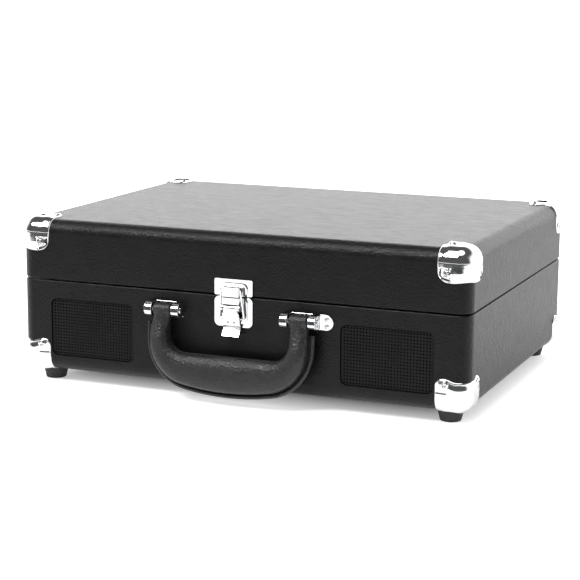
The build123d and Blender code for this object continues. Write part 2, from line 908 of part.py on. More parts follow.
with BuildPart() as deck_plate:
    with BuildSketch(level(deck_under)):
        inside(wall + 0.3, corner_r - wall - 0.3)
        with Locations((platter_x, platter_y)):
            Circle(bearing_r, mode=Mode.SUBTRACT)
        with Locations((motor_x, motor_y)):
            Circle(motor_hole_r, mode=Mode.SUBTRACT)
        with Locations(volume_at, selector_at):
            Circle(knob_shaft_r + running, mode=Mode.SUBTRACT)
        with Locations(*jack_places):
            Circle(jack_r, mode=Mode.SUBTRACT)
        with Locations(led_at):
            Circle(led_r, mode=Mode.SUBTRACT)
        with Locations((speed_at[0], speed_at[1] + speed_travel / 2)):
            Rectangle(4.0, speed_travel + 6, mode=Mode.SUBTRACT)
        with Locations((stop_at[0], stop_at[1] + stop_travel / 2)):
            Rectangle(4.0, stop_travel + 6, mode=Mode.SUBTRACT)
        with Locations(*deck_screw_places):
            Circle(deck_shank_r, mode=Mode.SUBTRACT)
    extrude(amount=deck_t)
    # Raised ring round the platter, and the recess for the single adapter
    with BuildSketch(level(deck_top)):
        with Locations((platter_x, platter_y)):
            Circle(platter_r + 4)
            Circle(platter_r + 1.5, mode=Mode.SUBTRACT)
    extrude(amount=2.0)
    with BuildSketch(level(deck_top - 1)):
        with Locations(adapter_at):
            Circle(adapter_r + 0.6)
    extrude(amount=2, mode=Mode.SUBTRACT)
    # Two ears that carry the cueing lever
    for low in (-5.4, 3.4):
        with BuildSketch(facing_side(cue_x + low)):
            with Locations((cue_y, cue_z)):
                Circle(3)
            with Locations((cue_y, (cue_z + deck_top) / 2)):
                Rectangle(6, cue_z - deck_top)
        extrude(amount=2)
    with BuildSketch(facing_side(cue_x - 8)):
        with Locations((cue_y, cue_z)):
            Circle(cue_pin_r + running)
    extrude(amount=16, mode=Mode.SUBTRACT)
save(deck_plate, "deck_plate")

with BuildPart() as deck_screws:
    with BuildSketch(level(deck_under)):
        with Locations(*deck_screw_places):
            Circle(deck_shank_r)
    extrude(amount=deck_t)
    with BuildSketch(level(deck_top)):
        with Locations(*deck_screw_places):
            Circle(3.0)
    extrude(amount=1.4, taper=25)
save(deck_screws, "deck_screws")

with BuildPart() as platter_bearing:
    with BuildSketch(level(deck_under - 6)):
        with Locations((platter_x, platter_y)):
            Circle(bearing_r)
            Circle(journal_r, mode=Mode.SUBTRACT)
    extrude(amount=deck_top - deck_under + 7.6)
save(platter_bearing, "platter_bearing")

with BuildPart() as spindle:
    with BuildSketch(level(deck_under - 10)):
        with Locations((platter_x, platter_y)):
            Circle(journal_r)
    extrude(amount=mat_top - 0.1 - deck_under + 10)
    with BuildSketch(level(mat_top - 0.1)):
        with Locations((platter_x, platter_y)):
            Circle(spindle_r)
    extrude(amount=spindle_top - mat_top + 0.1)
    chamfer(spindle.faces().sort_by(Axis.Z)[-1].edges(), 2)
save(spindle, "spindle")

with BuildPart() as platter:
    with BuildSketch(level(platter_under)):
        with Locations((platter_x, platter_y)):
            Circle(platter_r)
    extrude(amount=platter_top - platter_under)
    for outer, inner in ((platter_r - 3, drive_r), (drive_r - 4, hub_r)):
        with BuildSketch(level(platter_under)):
            with Locations((platter_x, platter_y)):
                Circle(outer)
                Circle(inner, mode=Mode.SUBTRACT)
        extrude(amount=platter_top - 3 - platter_under, mode=Mode.SUBTRACT)
    with BuildSketch(level(platter_under - 0.5)):
        with Locations((platter_x, platter_y)):
            Circle(hub_r)
    extrude(amount=1)
    with BuildSketch(level(70)):
        with Locations((platter_x, platter_y)):
            Circle(journal_r + running)
    extrude(amount=12, mode=Mode.SUBTRACT)
    chamfer(platter.faces().sort_by(Axis.Z)[-1].edges().sort_by(SortBy.RADIUS)[-1], 1)
save(platter, "platter")

with BuildPart() as platter_mat:
    with BuildSketch(level(platter_top)):
        with Locations((platter_x, platter_y)):
            Circle(platter_r - 3)
            Circle(journal_r + 0.5, mode=Mode.SUBTRACT)
    extrude(amount=mat_t)
save(platter_mat, "platter_mat")

with BuildPart() as motor:
    with BuildSketch(level(motor_low)):
        with Locations((motor_x, motor_y)):
            Circle(motor_r)
    extrude(amount=deck_under - motor_low - motor_plate_t)
    with BuildSketch(level(deck_under - motor_plate_t)):
        with Locations((motor_x, motor_y)):
            SlotOverall(50, 32)
    extrude(amount=motor_plate_t)
    with BuildSketch(level(40)):
        with Locations((motor_x, motor_y)):
            Circle(shaft_r + running)
    extrude(amount=30, mode=Mode.SUBTRACT)
save(motor, "motor")

with BuildPart() as motor_pulley:
    with BuildSketch(level(45)):
        with Locations((motor_x, motor_y)):
            Circle(shaft_r)
    extrude(amount=30)
    with BuildSketch(level(69.6)):
        with Locations((motor_x, motor_y)):
            Circle(pulley_r + 0.9)
    extrude(amount=1)
    with BuildSketch(level(70.6)):
        with Locations((motor_x, motor_y)):
            Circle(pulley_r)
    extrude(amount=4.6)
save(motor_pulley, "motor_pulley")


def belt_loop(grow):
    """The area inside a loop run round the drive ring and the pulley."""
    with BuildSketch() as loop:
        with Locations((platter_x, platter_y)):
            Circle(drive_r + grow)
        with Locations((motor_x, motor_y)):
            Circle(pulley_r + grow)
        make_hull()
    return loop.sketch


with BuildPart() as drive_belt:
    with BuildSketch(level(71.4)):
        add(belt_loop(0.3 + belt_t))
        add(belt_loop(0.3), mode=Mode.SUBTRACT)
    extrude(amount=3.4)
save(drive_belt, "drive_belt")

# ==== Tonearm ====

base_r = 16.0
base_h = 11.0
post_r = 3.0
cross_pin_r = 1.2
cheek_in = 8.2
cheek_t = 2.0

with BuildPart() as tonearm_base:
    with BuildSketch(level(deck_top)):
        with Locations((arm_x, arm_y)):
            Circle(base_r)
    extrude(amount=base_h)
    chamfer(tonearm_base.faces().sort_by(Axis.Z)[-1].edges(), 1.5)
    with BuildSketch(level(deck_top + base_h)):
        with Locations((arm_x, arm_y)):
            Circle(9)
    extrude(amount=4.5)
    with BuildSketch(level(72)):
        with Locations((arm_x, arm_y)):
            Circle(post_r + running)
    extrude(amount=20, mode=Mode.SUBTRACT)
save(tonearm_base, "tonearm_base")

with BuildPart() as tonearm_yoke:
    with BuildSketch(level(72.5)):
        with Locations((arm_x, arm_y)):
            Circle(post_r)
    extrude(amount=12)
    with BuildSketch(level(84.4)):
        with Locations((arm_x, arm_y)):
            Circle(10.4)
    extrude(amount=2.4)
    for low in (-cheek_in - cheek_t, cheek_in):
        with BuildSketch(facing_side(arm_x + low)):
            with Locations((arm_y, arm_z)):
                Circle(4.6)
            with Locations((arm_y, (arm_z + 86) / 2)):
                Rectangle(9.2, arm_z - 86)
        extrude(amount=cheek_t)
    with BuildSketch(facing_side(arm_x - 12)):
        with Locations((arm_y, arm_z)):
            Circle(cross_pin_r + running)
    extrude(amount=24, mode=Mode.SUBTRACT)
save(tonearm_yoke, "tonearm_yoke")

with BuildPart() as tonearm_tube:
    with BuildSketch(facing_front(arm_y + 14)):
        with Locations((arm_x, arm_z)):
            Circle(3.2)
    extrude(amount=14)
    with BuildSketch(facing_front(arm_y)):
        with Locations((arm_x, arm_z)):
            Circle(arm_r)
    extrude(amount=tube_len - 3)
    with BuildSketch(facing_front(arm_y + 7)):
        with Locations((arm_x, arm_z + 0.4)):
            RectangleRounded(15.6, 8, 1.5)
    extrude(amount=15)
    with BuildSketch(facing_front(arm_y + 31)):
        with Locations((arm_x, arm_z)):
            Circle(8)
    extrude(amount=17)
    with BuildSketch(facing_side(arm_x - cheek_in - cheek_t)):
        with Locations((arm_y, arm_z)):
            Circle(cross_pin_r)
    extrude(amount=2 * (cheek_in + cheek_t))
save(tonearm_tube, "tonearm_tube")

# The headshell is set at an angle, so that the stylus stays in line with the groove.
offset_a = math.radians(offset_deg)
shell_plane = Plane(
    (arm_x, arm_y - tube_len, arm_z - 4),
    x_dir=(math.cos(offset_a), -math.sin(offset_a), 0),
    z_dir=(0, 0, 1),
)

with BuildPart() as headshell:
    with BuildSketch(shell_plane):
        with Locations((0, -15)):
            RectangleRounded(17, 34, 5)
        with Locations((11, -24)):
            RectangleRounded(9, 5, 2)
    extrude(amount=6)
    with BuildSketch(facing_front(arm_y - tube_len + 8)):
        with Locations((arm_x, arm_z)):
            Circle(5.2)
    extrude(amount=10)
    with BuildSketch(facing_front(arm_y)):
        with Locations((arm_x, arm_z)):
            Circle(arm_r)
    extrude(amount=tube_len - 3, mode=Mode.SUBTRACT)
save(headshell, "headshell")

with BuildPart() as stylus:
    with BuildSketch(shell_plane.offset(-4.2)):
        with Locations((0, -19)):
            RectangleRounded(13, 20, 1.5)
    extrude(amount=4.2)
    with BuildSketch(shell_plane.offset(-5.8)):
        with Locations((0, -22)):
            Circle(0.4)
    extrude(amount=1.6, taper=-20)
save(stylus, "stylus")

with BuildPart() as tonearm_rest:
    with BuildSketch(level(deck_top)):
        with Locations((arm_x + 2.5, rest_y)):
            RectangleRounded(17, 10, 2)
    extrude(amount=arm_z - arm_r - 0.4 - deck_top)
    with BuildSketch(facing_front(rest_y + 5)):
        with Locations((arm_x + 8.2, arm_z - 2)):
            Rectangle(4.6, 6)
    extrude(amount=10)
    with BuildSketch(facing_front(rest_y + 2.1)):
        with Locations((arm_x + 8.2, arm_z - 0.4)):
            Rectangle(5, 6.4)
    extrude(amount=4.2, mode=Mode.SUBTRACT)
    with BuildSketch(facing_front(rest_y + 8)):
        with Locations((arm_x + 8.2, arm_z - 0.6)):
            Circle(0.9)
    extrude(amount=16, mode=Mode.SUBTRACT)
save(tonearm_rest, "tonearm_rest")

# The clip is drawn shut, over the arm, on a plane that is then turned open.
clip_travel = 75.0
clip_open = math.radians(clip_travel)
clip_plane = Plane(
    (arm_x + 8.2, rest_y + 1.7, arm_z - 0.6),
    x_dir=(math.cos(clip_open), 0, -math.sin(clip_open)),
    z_dir=(0, -1, 0),
)

with BuildPart() as tonearm_clip:
    with BuildSketch(clip_plane):
        with BuildLine():
            Polyline(
                (-1.2, -1),
                (-1.2, 6.6),
                (-14.2, 6.6),
                (-14.2, 1.5),
                (-13, 1.5),
                (-13, 5.4),
                (-2.6, 5.4),
                (-2.6, 0),
                close=True,
            )
        make_face()
        Circle(1.9)
    extrude(amount=3.4)
    with BuildSketch(clip_plane.offset(-3.3)):
        Circle(0.85)
    extrude(amount=10)
save(tonearm_clip, "tonearm_clip")

with BuildPart() as cue_lever:
    with BuildSketch(facing_side(cue_x - 5.4)):
        with Locations((cue_y, cue_z)):
            Circle(cue_pin_r)
    extrude(amount=10.8)
    with BuildSketch(facing_side(cue_x - 3.1)):
        with Locations((cue_y, cue_z)):
            Circle(3.4)
    extrude(amount=6.2)
    with BuildSketch(facing_side(cue_x - 1.6)):
        with Locations((cue_y - 13, cue_z)):
            SlotOverall(28, 3.4)
    extrude(amount=3.2)
save(cue_lever, "cue_lever")

# ==== Controls and sockets ====


def knob(at):
    """A knob with a pointer slot, and its shaft down through the deck."""
    with BuildPart() as piece:
        with BuildSketch(level(stem_low)):
            with Locations(at):
                Circle(knob_shaft_r)
        extrude(amount=deck_top - stem_low + 1.5)
        with BuildSketch(level(deck_top + 0.8)):
            with Locations(at):
                Circle(10)
        extrude(amount=9, taper=4)
        with BuildSketch(level(deck_top + 9)):
            with Locations((at[0], at[1] + 6)):
                Rectangle(1.2, 5)
        extrude(amount=1, mode=Mode.SUBTRACT)
    return piece


volume_knob = knob(volume_at)
save(volume_knob, "volume_knob")

selector_knob = knob(selector_at)
save(selector_knob, "selector_knob")


def slide_cap(at):
    """A slide switch's cap with its stem down through the deck's slot."""
    with BuildPart() as piece:
        with BuildSketch(level(stem_low)):
            with Locations(at):
                Rectangle(3.2, 4.6)
        extrude(amount=deck_top - stem_low + 1)
        with BuildSketch(level(deck_top + 0.5)):
            with Locations(at):
                RectangleRounded(9, 11, 1.5)
        extrude(amount=4, taper=10)
    return piece


speed_switch = slide_cap(speed_at)
save(speed_switch, "speed_switch")

stop_switch = slide_cap(stop_at)
save(stop_switch, "stop_switch")

with BuildPart() as jack_sockets:
    with BuildSketch(level(52)):
        with Locations(*jack_places):
            Circle(jack_r)
    extrude(amount=deck_top - 52)
    with BuildSketch(level(deck_top)):
        with Locations(*jack_places):
            Circle(6)
    extrude(amount=1.2)
    with BuildSketch(level(deck_top + 1.2 - 14)):
        with Locations(*jack_places):
            Circle(1.8)
    extrude(amount=20, mode=Mode.SUBTRACT)
save(jack_sockets, "jack_sockets")

with BuildPart() as power_led:
    with BuildSketch(level(deck_under - 3)):
        with Locations(led_at):
            Circle(led_r)
    extrude(amount=deck_t + 4)
    fillet(power_led.faces().sort_by(Axis.Z)[-1].edges(), 1.2)
save(power_led, "power_led")

with BuildPart() as single_adapter:
    with BuildSketch(level(deck_top - 0.9)):
        with Locations(adapter_at):
            Circle(adapter_r)
            Circle(spindle_r + 0.2, mode=Mode.SUBTRACT)
    extrude(amount=6)
save(single_adapter, "single_adapter")

socket_r = 4.6
socket_depth = 12.0
rca_r = 4.15
rca_places = [(panel_x - 20.0, panel_z), (panel_x, panel_z)]
dc_at = (panel_x + 20.0, panel_z)

with BuildPart() as rear_panel:
    with BuildSketch(facing_front(rear_y)):
        with Locations((panel_x, panel_z)):
            RectangleRounded(panel_w, panel_h, 3)
        with Locations(*rca_places, dc_at):
            Circle(socket_r, mode=Mode.SUBTRACT)
    extrude(amount=-plate_t)
save(rear_panel, "rear_panel")

with BuildPart() as rca_jacks:
    with BuildSketch(facing_front(rear_y - socket_depth)):
        with Locations(*rca_places):
            Circle(socket_r)
    extrude(amount=-(socket_depth + plate_t))
    with BuildSketch(facing_front(rear_y + plate_t)):
        with Locations(*rca_places):
            Circle(rca_r)
    extrude(amount=-5.2)
    with BuildSketch(facing_front(rear_y - 4)):
        with Locations(*rca_places):
            Circle(1.6)
    extrude(amount=-20, mode=Mode.SUBTRACT)
save(rca_jacks, "rca_jacks")

with BuildPart() as dc_jack:
    with BuildSketch(facing_front(rear_y - socket_depth)):
        with Locations(dc_at):
            Circle(socket_r)
    extrude(amount=-(socket_depth + plate_t))
    with BuildSketch(facing_front(rear_y + plate_t - 9)):
        with Locations(dc_at):
            Circle(2.75)
    extrude(amount=-20, mode=Mode.SUBTRACT)
save(dc_jack, "dc_jack")

with BuildPart() as main_board:
    board_at = (95.0, case_y + 62.0)
    with BuildSketch(level(floor_top)):
        with Locations(board_at):
            with GridLocations(92, 52, 2, 2):
                Circle(3)
    extrude(amount=6)
    with BuildSketch(level(floor_top + 6)):
        with Locations(board_at):
            Rectangle(104, 64)
    extrude(amount=1.6)
    with BuildSketch(level(floor_top + 7.6)):
        with Locations((70, case_y + 60)):
            Rectangle(22, 22)
        with Locations((118, case_y + 78)):
            Rectangle(30, 16)
    extrude(amount=2.4)
    with BuildSketch(level(floor_top + 7.6)):
        with Locations((100, case_y + 50), (114, case_y + 50), (128, case_y + 50)):
            Circle(5)
    extrude(amount=13)
save(main_board, "main_board")
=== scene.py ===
"""The looks of a suitcase record player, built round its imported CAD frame.

Shapes are built in millimetres, and each mesh is scaled to metres when it becomes an object.
"""

import math

import bmesh
import bpy
from mathutils import Matrix, Vector


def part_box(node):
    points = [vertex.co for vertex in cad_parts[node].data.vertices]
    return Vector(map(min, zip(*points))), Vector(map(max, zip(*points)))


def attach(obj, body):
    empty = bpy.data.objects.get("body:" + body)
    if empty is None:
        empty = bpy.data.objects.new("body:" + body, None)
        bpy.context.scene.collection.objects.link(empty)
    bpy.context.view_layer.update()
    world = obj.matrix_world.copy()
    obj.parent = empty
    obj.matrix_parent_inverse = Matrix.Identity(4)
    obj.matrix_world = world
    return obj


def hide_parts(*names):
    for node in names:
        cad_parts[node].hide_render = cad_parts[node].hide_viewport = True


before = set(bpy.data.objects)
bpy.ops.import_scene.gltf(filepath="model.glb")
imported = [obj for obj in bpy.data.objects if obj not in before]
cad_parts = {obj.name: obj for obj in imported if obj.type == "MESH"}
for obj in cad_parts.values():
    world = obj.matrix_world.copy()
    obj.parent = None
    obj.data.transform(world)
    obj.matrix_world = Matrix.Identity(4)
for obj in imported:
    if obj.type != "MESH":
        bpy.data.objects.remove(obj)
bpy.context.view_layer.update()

MM = 0.001


def corners(node):
    """Lowest and highest corner of a CAD node, in millimetres."""
    low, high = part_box(node)
    return Vector(low) / MM, Vector(high) / MM


# ==== Driving sizes, read from the frame ====

base_low, base_high = corners("base_shell")
lid_low, lid_high = corners("lid_shell")
case_w = base_high.x - base_low.x
case_d = base_high.y - base_low.y
case_y = (base_high.y + base_low.y) / 2
front_y = base_low.y
rear_y = base_high.y
foot_h = base_low.z
base_top = base_high.z
lid_bottom = lid_low.z
case_top = lid_high.z
# Radius of the case's upright corners, radius of its roof's and floor's edges, walls, stamped chrome
corner_r = 10.5
edge_r = 10.0
wall = 6.0
skin = 0.9

# ==== Placing ====


def axes_at(origin, x_axis, y_axis):
    """Matrix of a local frame: its z axis is x cross y."""
    x = Vector(x_axis).normalized()
    y = Vector(y_axis).normalized()
    turn = Matrix((x, y, x.cross(y))).transposed().to_4x4()
    turn.translation = Vector(origin)
    return turn


def facing(x_axis, y_axis):
    """A function from a point to a local frame there with these axes."""
    return lambda x, y, z: axes_at((x, y, z), x_axis, y_axis)


facing_front = facing((1, 0, 0), (0, 0, 1))
facing_back = facing((-1, 0, 0), (0, 0, 1))
facing_right = facing((0, 1, 0), (0, 0, 1))
facing_up = facing((1, 0, 0), (0, 1, 0))
facing_down = facing((1, 0, 0), (0, -1, 0))

# ==== Outlines ====


def arc(cx, cy, radius, start, end, steps):
    """Points along an arc, angles in degrees."""
    points = []
    for i in range(steps + 1):
        angle = math.radians(start + (end - start) * i / steps)
        points.append((cx + radius * math.cos(angle), cy + radius * math.sin(angle)))
    return points


def rounded_rect(w, h, radius, cx=0.0, cy=0.0, steps=6):
    """A rounded rectangle, counter-clockwise from its right side."""
    x = w / 2 - radius
    y = h / 2 - radius
    points = []
    for sx, sy, start in ((1, 1, 0), (-1, 1, 90), (-1, -1, 180), (1, -1, 270)):
        points += arc(cx + sx * x, cy + sy * y, radius, start, start + 90, steps)
    return points


def circle(cx, cy, radius, steps=24):
    return arc(cx, cy, radius, 0, 360, steps)[:-1]


# ==== Mesh building ====


def add_loft(bm, rings, cap_start=True):
    """Skin a list of equally long closed rings, and cap its last ring and if asked its first."""
    made = [[bm.verts.new(point) for point in ring] for ring in rings]
    for lower, upper in zip(made, made[1:]):
        count = len(lower)
        for i in range(count):
            j = (i + 1) % count
            bm.faces.new((lower[i], lower[j], upper[j], upper[i]))
    if cap_start:
        bm.faces.new(reversed(made[0]))
    bm.faces.new(made[-1])


def add_lathe(bm, profile, at, steps=48):
    """Turn a profile of (radius, height) points about the local z axis."""
    turns = [2 * math.pi * i / steps for i in range(steps)]
    rings = []
    for radius, height in profile:
        on_axis = radius < 1e-6
        ring = []
        for turn in turns[:1] if on_axis else turns:
            point = Vector((radius * math.cos(turn), radius * math.sin(turn), height))
            ring.append(bm.verts.new(at @ point))
        rings.append(ring)
    for lower, upper in zip(rings, rings[1:]):
        for i in range(steps):
            j = (i + 1) % steps
            if len(lower) == 1 and len(upper) == 1:
                continue
            if len(lower) == 1:
                bm.faces.new((lower[0], upper[j], upper[i]))
            elif len(upper) == 1:
                bm.faces.new((lower[i], lower[j], upper[0]))
            else:
                bm.faces.new((lower[i], lower[j], upper[j], upper[i]))


def add_plate(bm, outlines, thickness, at, bevel=0.2, segments=2):
    """A flat plate with rounded edges. Its back is on the local plane; later outlines are holes."""
    curve = bpy.data.curves.new("plate", "CURVE")
    curve.dimensions = "2D"
    curve.fill_mode = "BOTH"
    curve.extrude = thickness / 2 - bevel
    curve.bevel_depth = bevel
    curve.bevel_resolution = segments
    curve.offset = -bevel
    for outline in outlines:
        spline = curve.splines.new("POLY")
        spline.points.add(len(outline) - 1)
        for point, (x, y) in zip(spline.points, outline):
            point.co = (x, y, 0, 1)
        spline.use_cyclic_u = True
    holder = bpy.data.objects.new("plate", curve)
    mesh = bpy.data.meshes.new_from_object(holder)
    mesh.transform(at @ Matrix.Translation((0, 0, thickness / 2)))
    bm.from_mesh(mesh)
    bpy.data.objects.remove(holder)
    bpy.data.curves.remove(curve)
    bpy.data.meshes.remove(mesh)


def add_tube(bm, points, radius, steps):
    """A round wire along points, its section turned smoothly from one to the next."""
    path = [Vector(point) for point in points]
    rings = []
    side = None
    for i, point in enumerate(path):
        before = path[max(i - 1, 0)]
        after = path[min(i + 1, len(path) - 1)]
        along = (after - before).normalized()
        if side is None:
            side = along.orthogonal().normalized()
        side = (side - along * side.dot(along)).normalized()
        up = along.cross(side)
        ring = []
        for k in range(steps):
            angle = 2 * math.pi * k / steps
            ring.append(point + (side * math.cos(angle) + up * math.sin(angle)) * radius)
        rings.append(ring)
    add_loft(bm, rings)


def rounded_path(points, radius, steps):
    """Straight runs between points, with each corner turned in an arc."""
    path = [Vector(points[0])]
    for before, corner, after in zip(points, points[1:], points[2:]):
        corner = Vector(corner)
        towards = (Vector(before) - corner).normalized()
        onward = (Vector(after) - corner).normalized()
        half = towards.angle(onward) / 2
        back = radius / math.tan(half)
        middle = corner + (towards + onward).normalized() * radius / math.sin(half)
        first = corner + towards * back - middle
        last = corner + onward * back - middle
        for i in range(steps + 1):
            path.append(middle + first.slerp(last, i / steps))
    path.append(Vector(points[-1]))
    return path


def link(thing):
    """Put an object in the scene."""
    bpy.context.scene.collection.objects.link(thing)


def as_mesh(bm, name):
    mesh = bpy.data.meshes.new(name)
    bm.to_mesh(mesh)
    bm.free()
    return mesh


def make(name, bm, body, replaced, slot, material, sharp=35.0, bevel=0.0, weld=0.002):
    """Turn a millimetre bmesh into a piece that rides on a body."""
    if weld:
        bmesh.ops.remove_doubles(bm, verts=bm.verts, dist=weld)
    bmesh.ops.recalc_face_normals(bm, faces=bm.faces)
    bmesh.ops.scale(bm, vec=(MM,) * 3, verts=bm.verts)
    mesh = as_mesh(bm, name)
    for polygon in mesh.polygons:
        polygon.use_smooth = True
    piece = bpy.data.objects.new(name, mesh)
    link(piece)
    if bevel:
        edge = piece.modifiers.new("edge", "BEVEL")
        edge.width = bevel * MM
        edge.segments = 2
        edge.limit_method = "ANGLE"
        edge.angle_limit = math.radians(40)
        edge.harden_normals = True
    mesh.set_sharp_from_angle(angle=math.radians(sharp))
    if not bevel:
        weighted = piece.modifiers.new("normals", "WEIGHTED_NORMAL")
        weighted.keep_sharp = True
    mesh.materials.append(material)
    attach(piece, body)
    if replaced:
        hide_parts(*replaced)
    return piece


def soften(node, body, slot, material, bevel):
    """A CAD node's own surface, welded, its flat faces joined and its sharp edges rounded."""
    bm = bmesh.new()
    bm.from_mesh(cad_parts[node].data)
    bmesh.ops.scale(bm, vec=(1 / MM,) * 3, verts=bm.verts)
    bmesh.ops.remove_doubles(bm, verts=bm.verts, dist=0.004)
    flat = math.radians(0.6)
    bmesh.ops.dissolve_limit(bm, angle_limit=flat, verts=bm.verts, edges=bm.edges)
    return make(node + "_form", bm, body, [node], slot, material, bevel=bevel, weld=0)


def with_modifiers(piece):
    """A piece's mesh with its shown modifiers applied."""
    bpy.context.view_layer.update()
    graph = bpy.context.evaluated_depsgraph_get()
    return bpy.data.meshes.new_from_object(piece.evaluated_get(graph))


def subtract(piece, cutters):
    """Cut the cutters' meshes, in millimetres, out of a piece and apply the result."""
    bm = bmesh.new()
    for mesh in cutters:
        bm.from_mesh(mesh)
    bmesh.ops.recalc_face_normals(bm, faces=bm.faces)
    bmesh.ops.scale(bm, vec=(MM,) * 3, verts=bm.verts)
    cutter = bpy.data.objects.new("cutter", as_mesh(bm, "cutter"))
    link(cutter)
    cut = piece.modifiers.new("cut", "BOOLEAN")
    cut.object = cutter
    cut.solver = "EXACT"
    shown = [modifier for modifier in piece.modifiers if modifier.name != "cut"]
    for modifier in shown:
        modifier.show_viewport = False
    mesh = with_modifiers(piece)
    piece.modifiers.remove(cut)
    piece.data = mesh
    for modifier in shown:
        modifier.show_viewport = True
    bpy.data.objects.remove(cutter)


# ==== Materials ====


def add_node(tree, kind, output, inputs, **settings):
    """Add a shader node with these settings, set or link its inputs, and return one output."""
    node = tree.nodes.new("ShaderNode" + kind)
    for name, value in settings.items():
        setattr(node, name, value)
    for name, value in inputs.items():
        if isinstance(value, bpy.types.NodeSocket):
            tree.links.new(value, node.inputs[name])
        else:
            node.inputs[name].default_value = value
    return node.outputs[output]


def add_math(tree, operation, *values):
    """A math node on sockets or plain numbers."""
    return add_node(tree, "Math", "Value", dict(enumerate(values)), operation=operation)


def add_span(tree, value, from_low, from_high, to_low, to_high, kind="LINEAR"):
    """Map a value from one span to another, and hold it at the ends."""
    inputs = {"Value": value, "From Min": from_low, "From Max": from_high}
    inputs |= {"To Min": to_low, "To Max": to_high}
    return add_node(tree, "MapRange", "Result", inputs, interpolation_type=kind)


class Look:
    """A Principled material and the few textures that it is made from."""

    def __init__(self, name, color, roughness, metallic=0.0, ior=1.5):
        self.material = bpy.data.materials.new(name)
        self.material.use_nodes = True
        self.tree = self.material.node_tree
        self.shader = self.tree.nodes["Principled BSDF"]
        self.shader.inputs["Base Color"].default_value = (*color, 1)
        self.shader.inputs["Roughness"].default_value = roughness
        self.shader.inputs["Metallic"].default_value = metallic
        self.shader.inputs["IOR"].default_value = ior
        self.place = self.tree.nodes.new("ShaderNodeTexCoord").outputs["Object"]
        self.normal = None

    def noise(self, size, detail=3.0, stretch=(1, 1, 1)):
        """Noise with features about size millimetres wide, before each axis is scaled by stretch."""
        place = add_node(self.tree, "Mapping", "Vector", {"Vector": self.place, "Scale": stretch})
        inputs = {"Vector": place, "Scale": 1 / (size * MM), "Detail": detail}
        return add_node(self.tree, "TexNoise", "Fac", inputs)

    def cells(self, size, smoothness):
        """Distance to the middle of soft-edged cells about size millimetres wide."""
        inputs = {"Vector": self.place, "Scale": 1 / (size * MM), "Smoothness": smoothness}
        return add_node(self.tree, "TexVoronoi", "Distance", inputs, feature="SMOOTH_F1")

    def feed(self, name, value):
        """Link a value to one of the shader's inputs."""
        self.tree.links.new(value, self.shader.inputs[name])

    def rough(self, value, low, high):
        """Vary the roughness between low and high."""
        self.feed("Roughness", add_span(self.tree, value, 0.3, 0.7, low, high))

    def tint(self, value, dark, light, low=0.3, high=0.7):
        """Vary the base colour between two colours."""
        share = add_span(self.tree, value, low, high, 0, 1)
        inputs = {"Factor": share, "A": (*dark, 1), "B": (*light, 1)}
        self.feed("Base Color", add_node(self.tree, "Mix", "Result", inputs, data_type="RGBA"))

    def bump(self, value, depth):
        """Raise the surface by depth millimetres where value is 1."""
        inputs = {"Height": value, "Distance": depth * MM, "Strength": 1.0}
        if self.normal:
            inputs["Normal"] = self.normal
        self.normal = add_node(self.tree, "Bump", "Normal", inputs)
        self.feed("Normal", self.normal)

    def paint_light_outside(self, half_x, half_y, fade, strength):
        """Painted light: glow everywhere but under the case, lifting the floor's real shadow and leaving a
        painted soft shadow under the case, fading in over fade millimetres.
        """
        split = self.tree.nodes.new("ShaderNodeSeparateXYZ")
        self.tree.links.new(self.place, split.inputs["Vector"])
        shares = []
        for axis, middle, half in (("X", 0.0, half_x), ("Y", case_y, half_y)):
            shift = add_math(self.tree, "SUBTRACT", split.outputs[axis], middle * MM)
            reach = add_math(self.tree, "ABSOLUTE", shift)
            shares.append(add_span(self.tree, reach, half * MM, (half + fade) * MM, 0, 1))
        widest = add_math(self.tree, "MAXIMUM", *shares)
        level = add_span(self.tree, widest, 0, 1, 0, strength)
        # The emission is painted light on the floor; its fade under the case is a painted soft shadow
        self.shader.inputs["Emission Color"].default_value = (1, 1, 1, 1)
        self.feed("Emission Strength", level)


def make_leatherette():
    """Black embossed paper-backed vinyl with a fine pebble and a faint run along the roll."""
    look = Look("leatherette", (0.0035, 0.0035, 0.0037), 0.40, ior=1.26)
    run = look.noise(0.55, 2, (0.05, 1, 0.05))
    look.rough(run, 0.33, 0.47)
    look.tint(look.noise(14, 4), (0.0028, 0.0028, 0.0030), (0.0046, 0.0046, 0.0048))
    look.bump(look.cells(1.5, 0.4), 0.22)
    look.bump(look.noise(0.8, 2), 0.10)
    look.bump(run, 0.03)
    return look.material


def make_grip_leather():
    """The handle's softer covering, with a rounder, larger grain."""
    look = Look("grip_leather", (0.011, 0.011, 0.0113), 0.42, ior=1.4)
    look.rough(look.noise(5, 3), 0.36, 0.50)
    look.tint(look.noise(9, 3), (0.009, 0.009, 0.0093), (0.014, 0.014, 0.0143))
    look.bump(look.cells(1.6, 0.5), 0.34)
    look.bump(look.noise(0.8, 2), 0.12)
    return look.material


def make_chrome():
    look = Look("chrome", (0.60, 0.605, 0.615), 0.07, metallic=1.0)
    look.rough(look.noise(6, 4), 0.04, 0.12)
    look.bump(look.noise(9, 2), 0.05)
    return look.material


def make_steel(name, color, low, high):
    look = Look(name, color, 0.35, metallic=1.0)
    brushing = (0.06, 1, 0.06)
    look.rough(look.noise(0.5, 3, brushing), low, high)
    look.bump(look.noise(0.5, 2, brushing), 0.01)
    return look.material


def make_plastic(name, color, low, high, grain=0.0, ior=1.47):
    look = Look(name, color, low, ior=ior)
    look.rough(look.noise(7, 4), low, high)
    light = tuple(min(1, channel * 1.25 + 0.001) for channel in color)
    look.tint(look.noise(30, 3), color, light)
    if grain:
        look.bump(look.noise(0.45, 3), grain)
    return look.material


def make_rubber():
    look = Look("rubber", (0.014, 0.014, 0.014), 0.7, ior=1.45)
    look.rough(look.noise(2, 4), 0.6, 0.85)
    look.bump(look.noise(0.5, 3), 0.04)
    return look.material


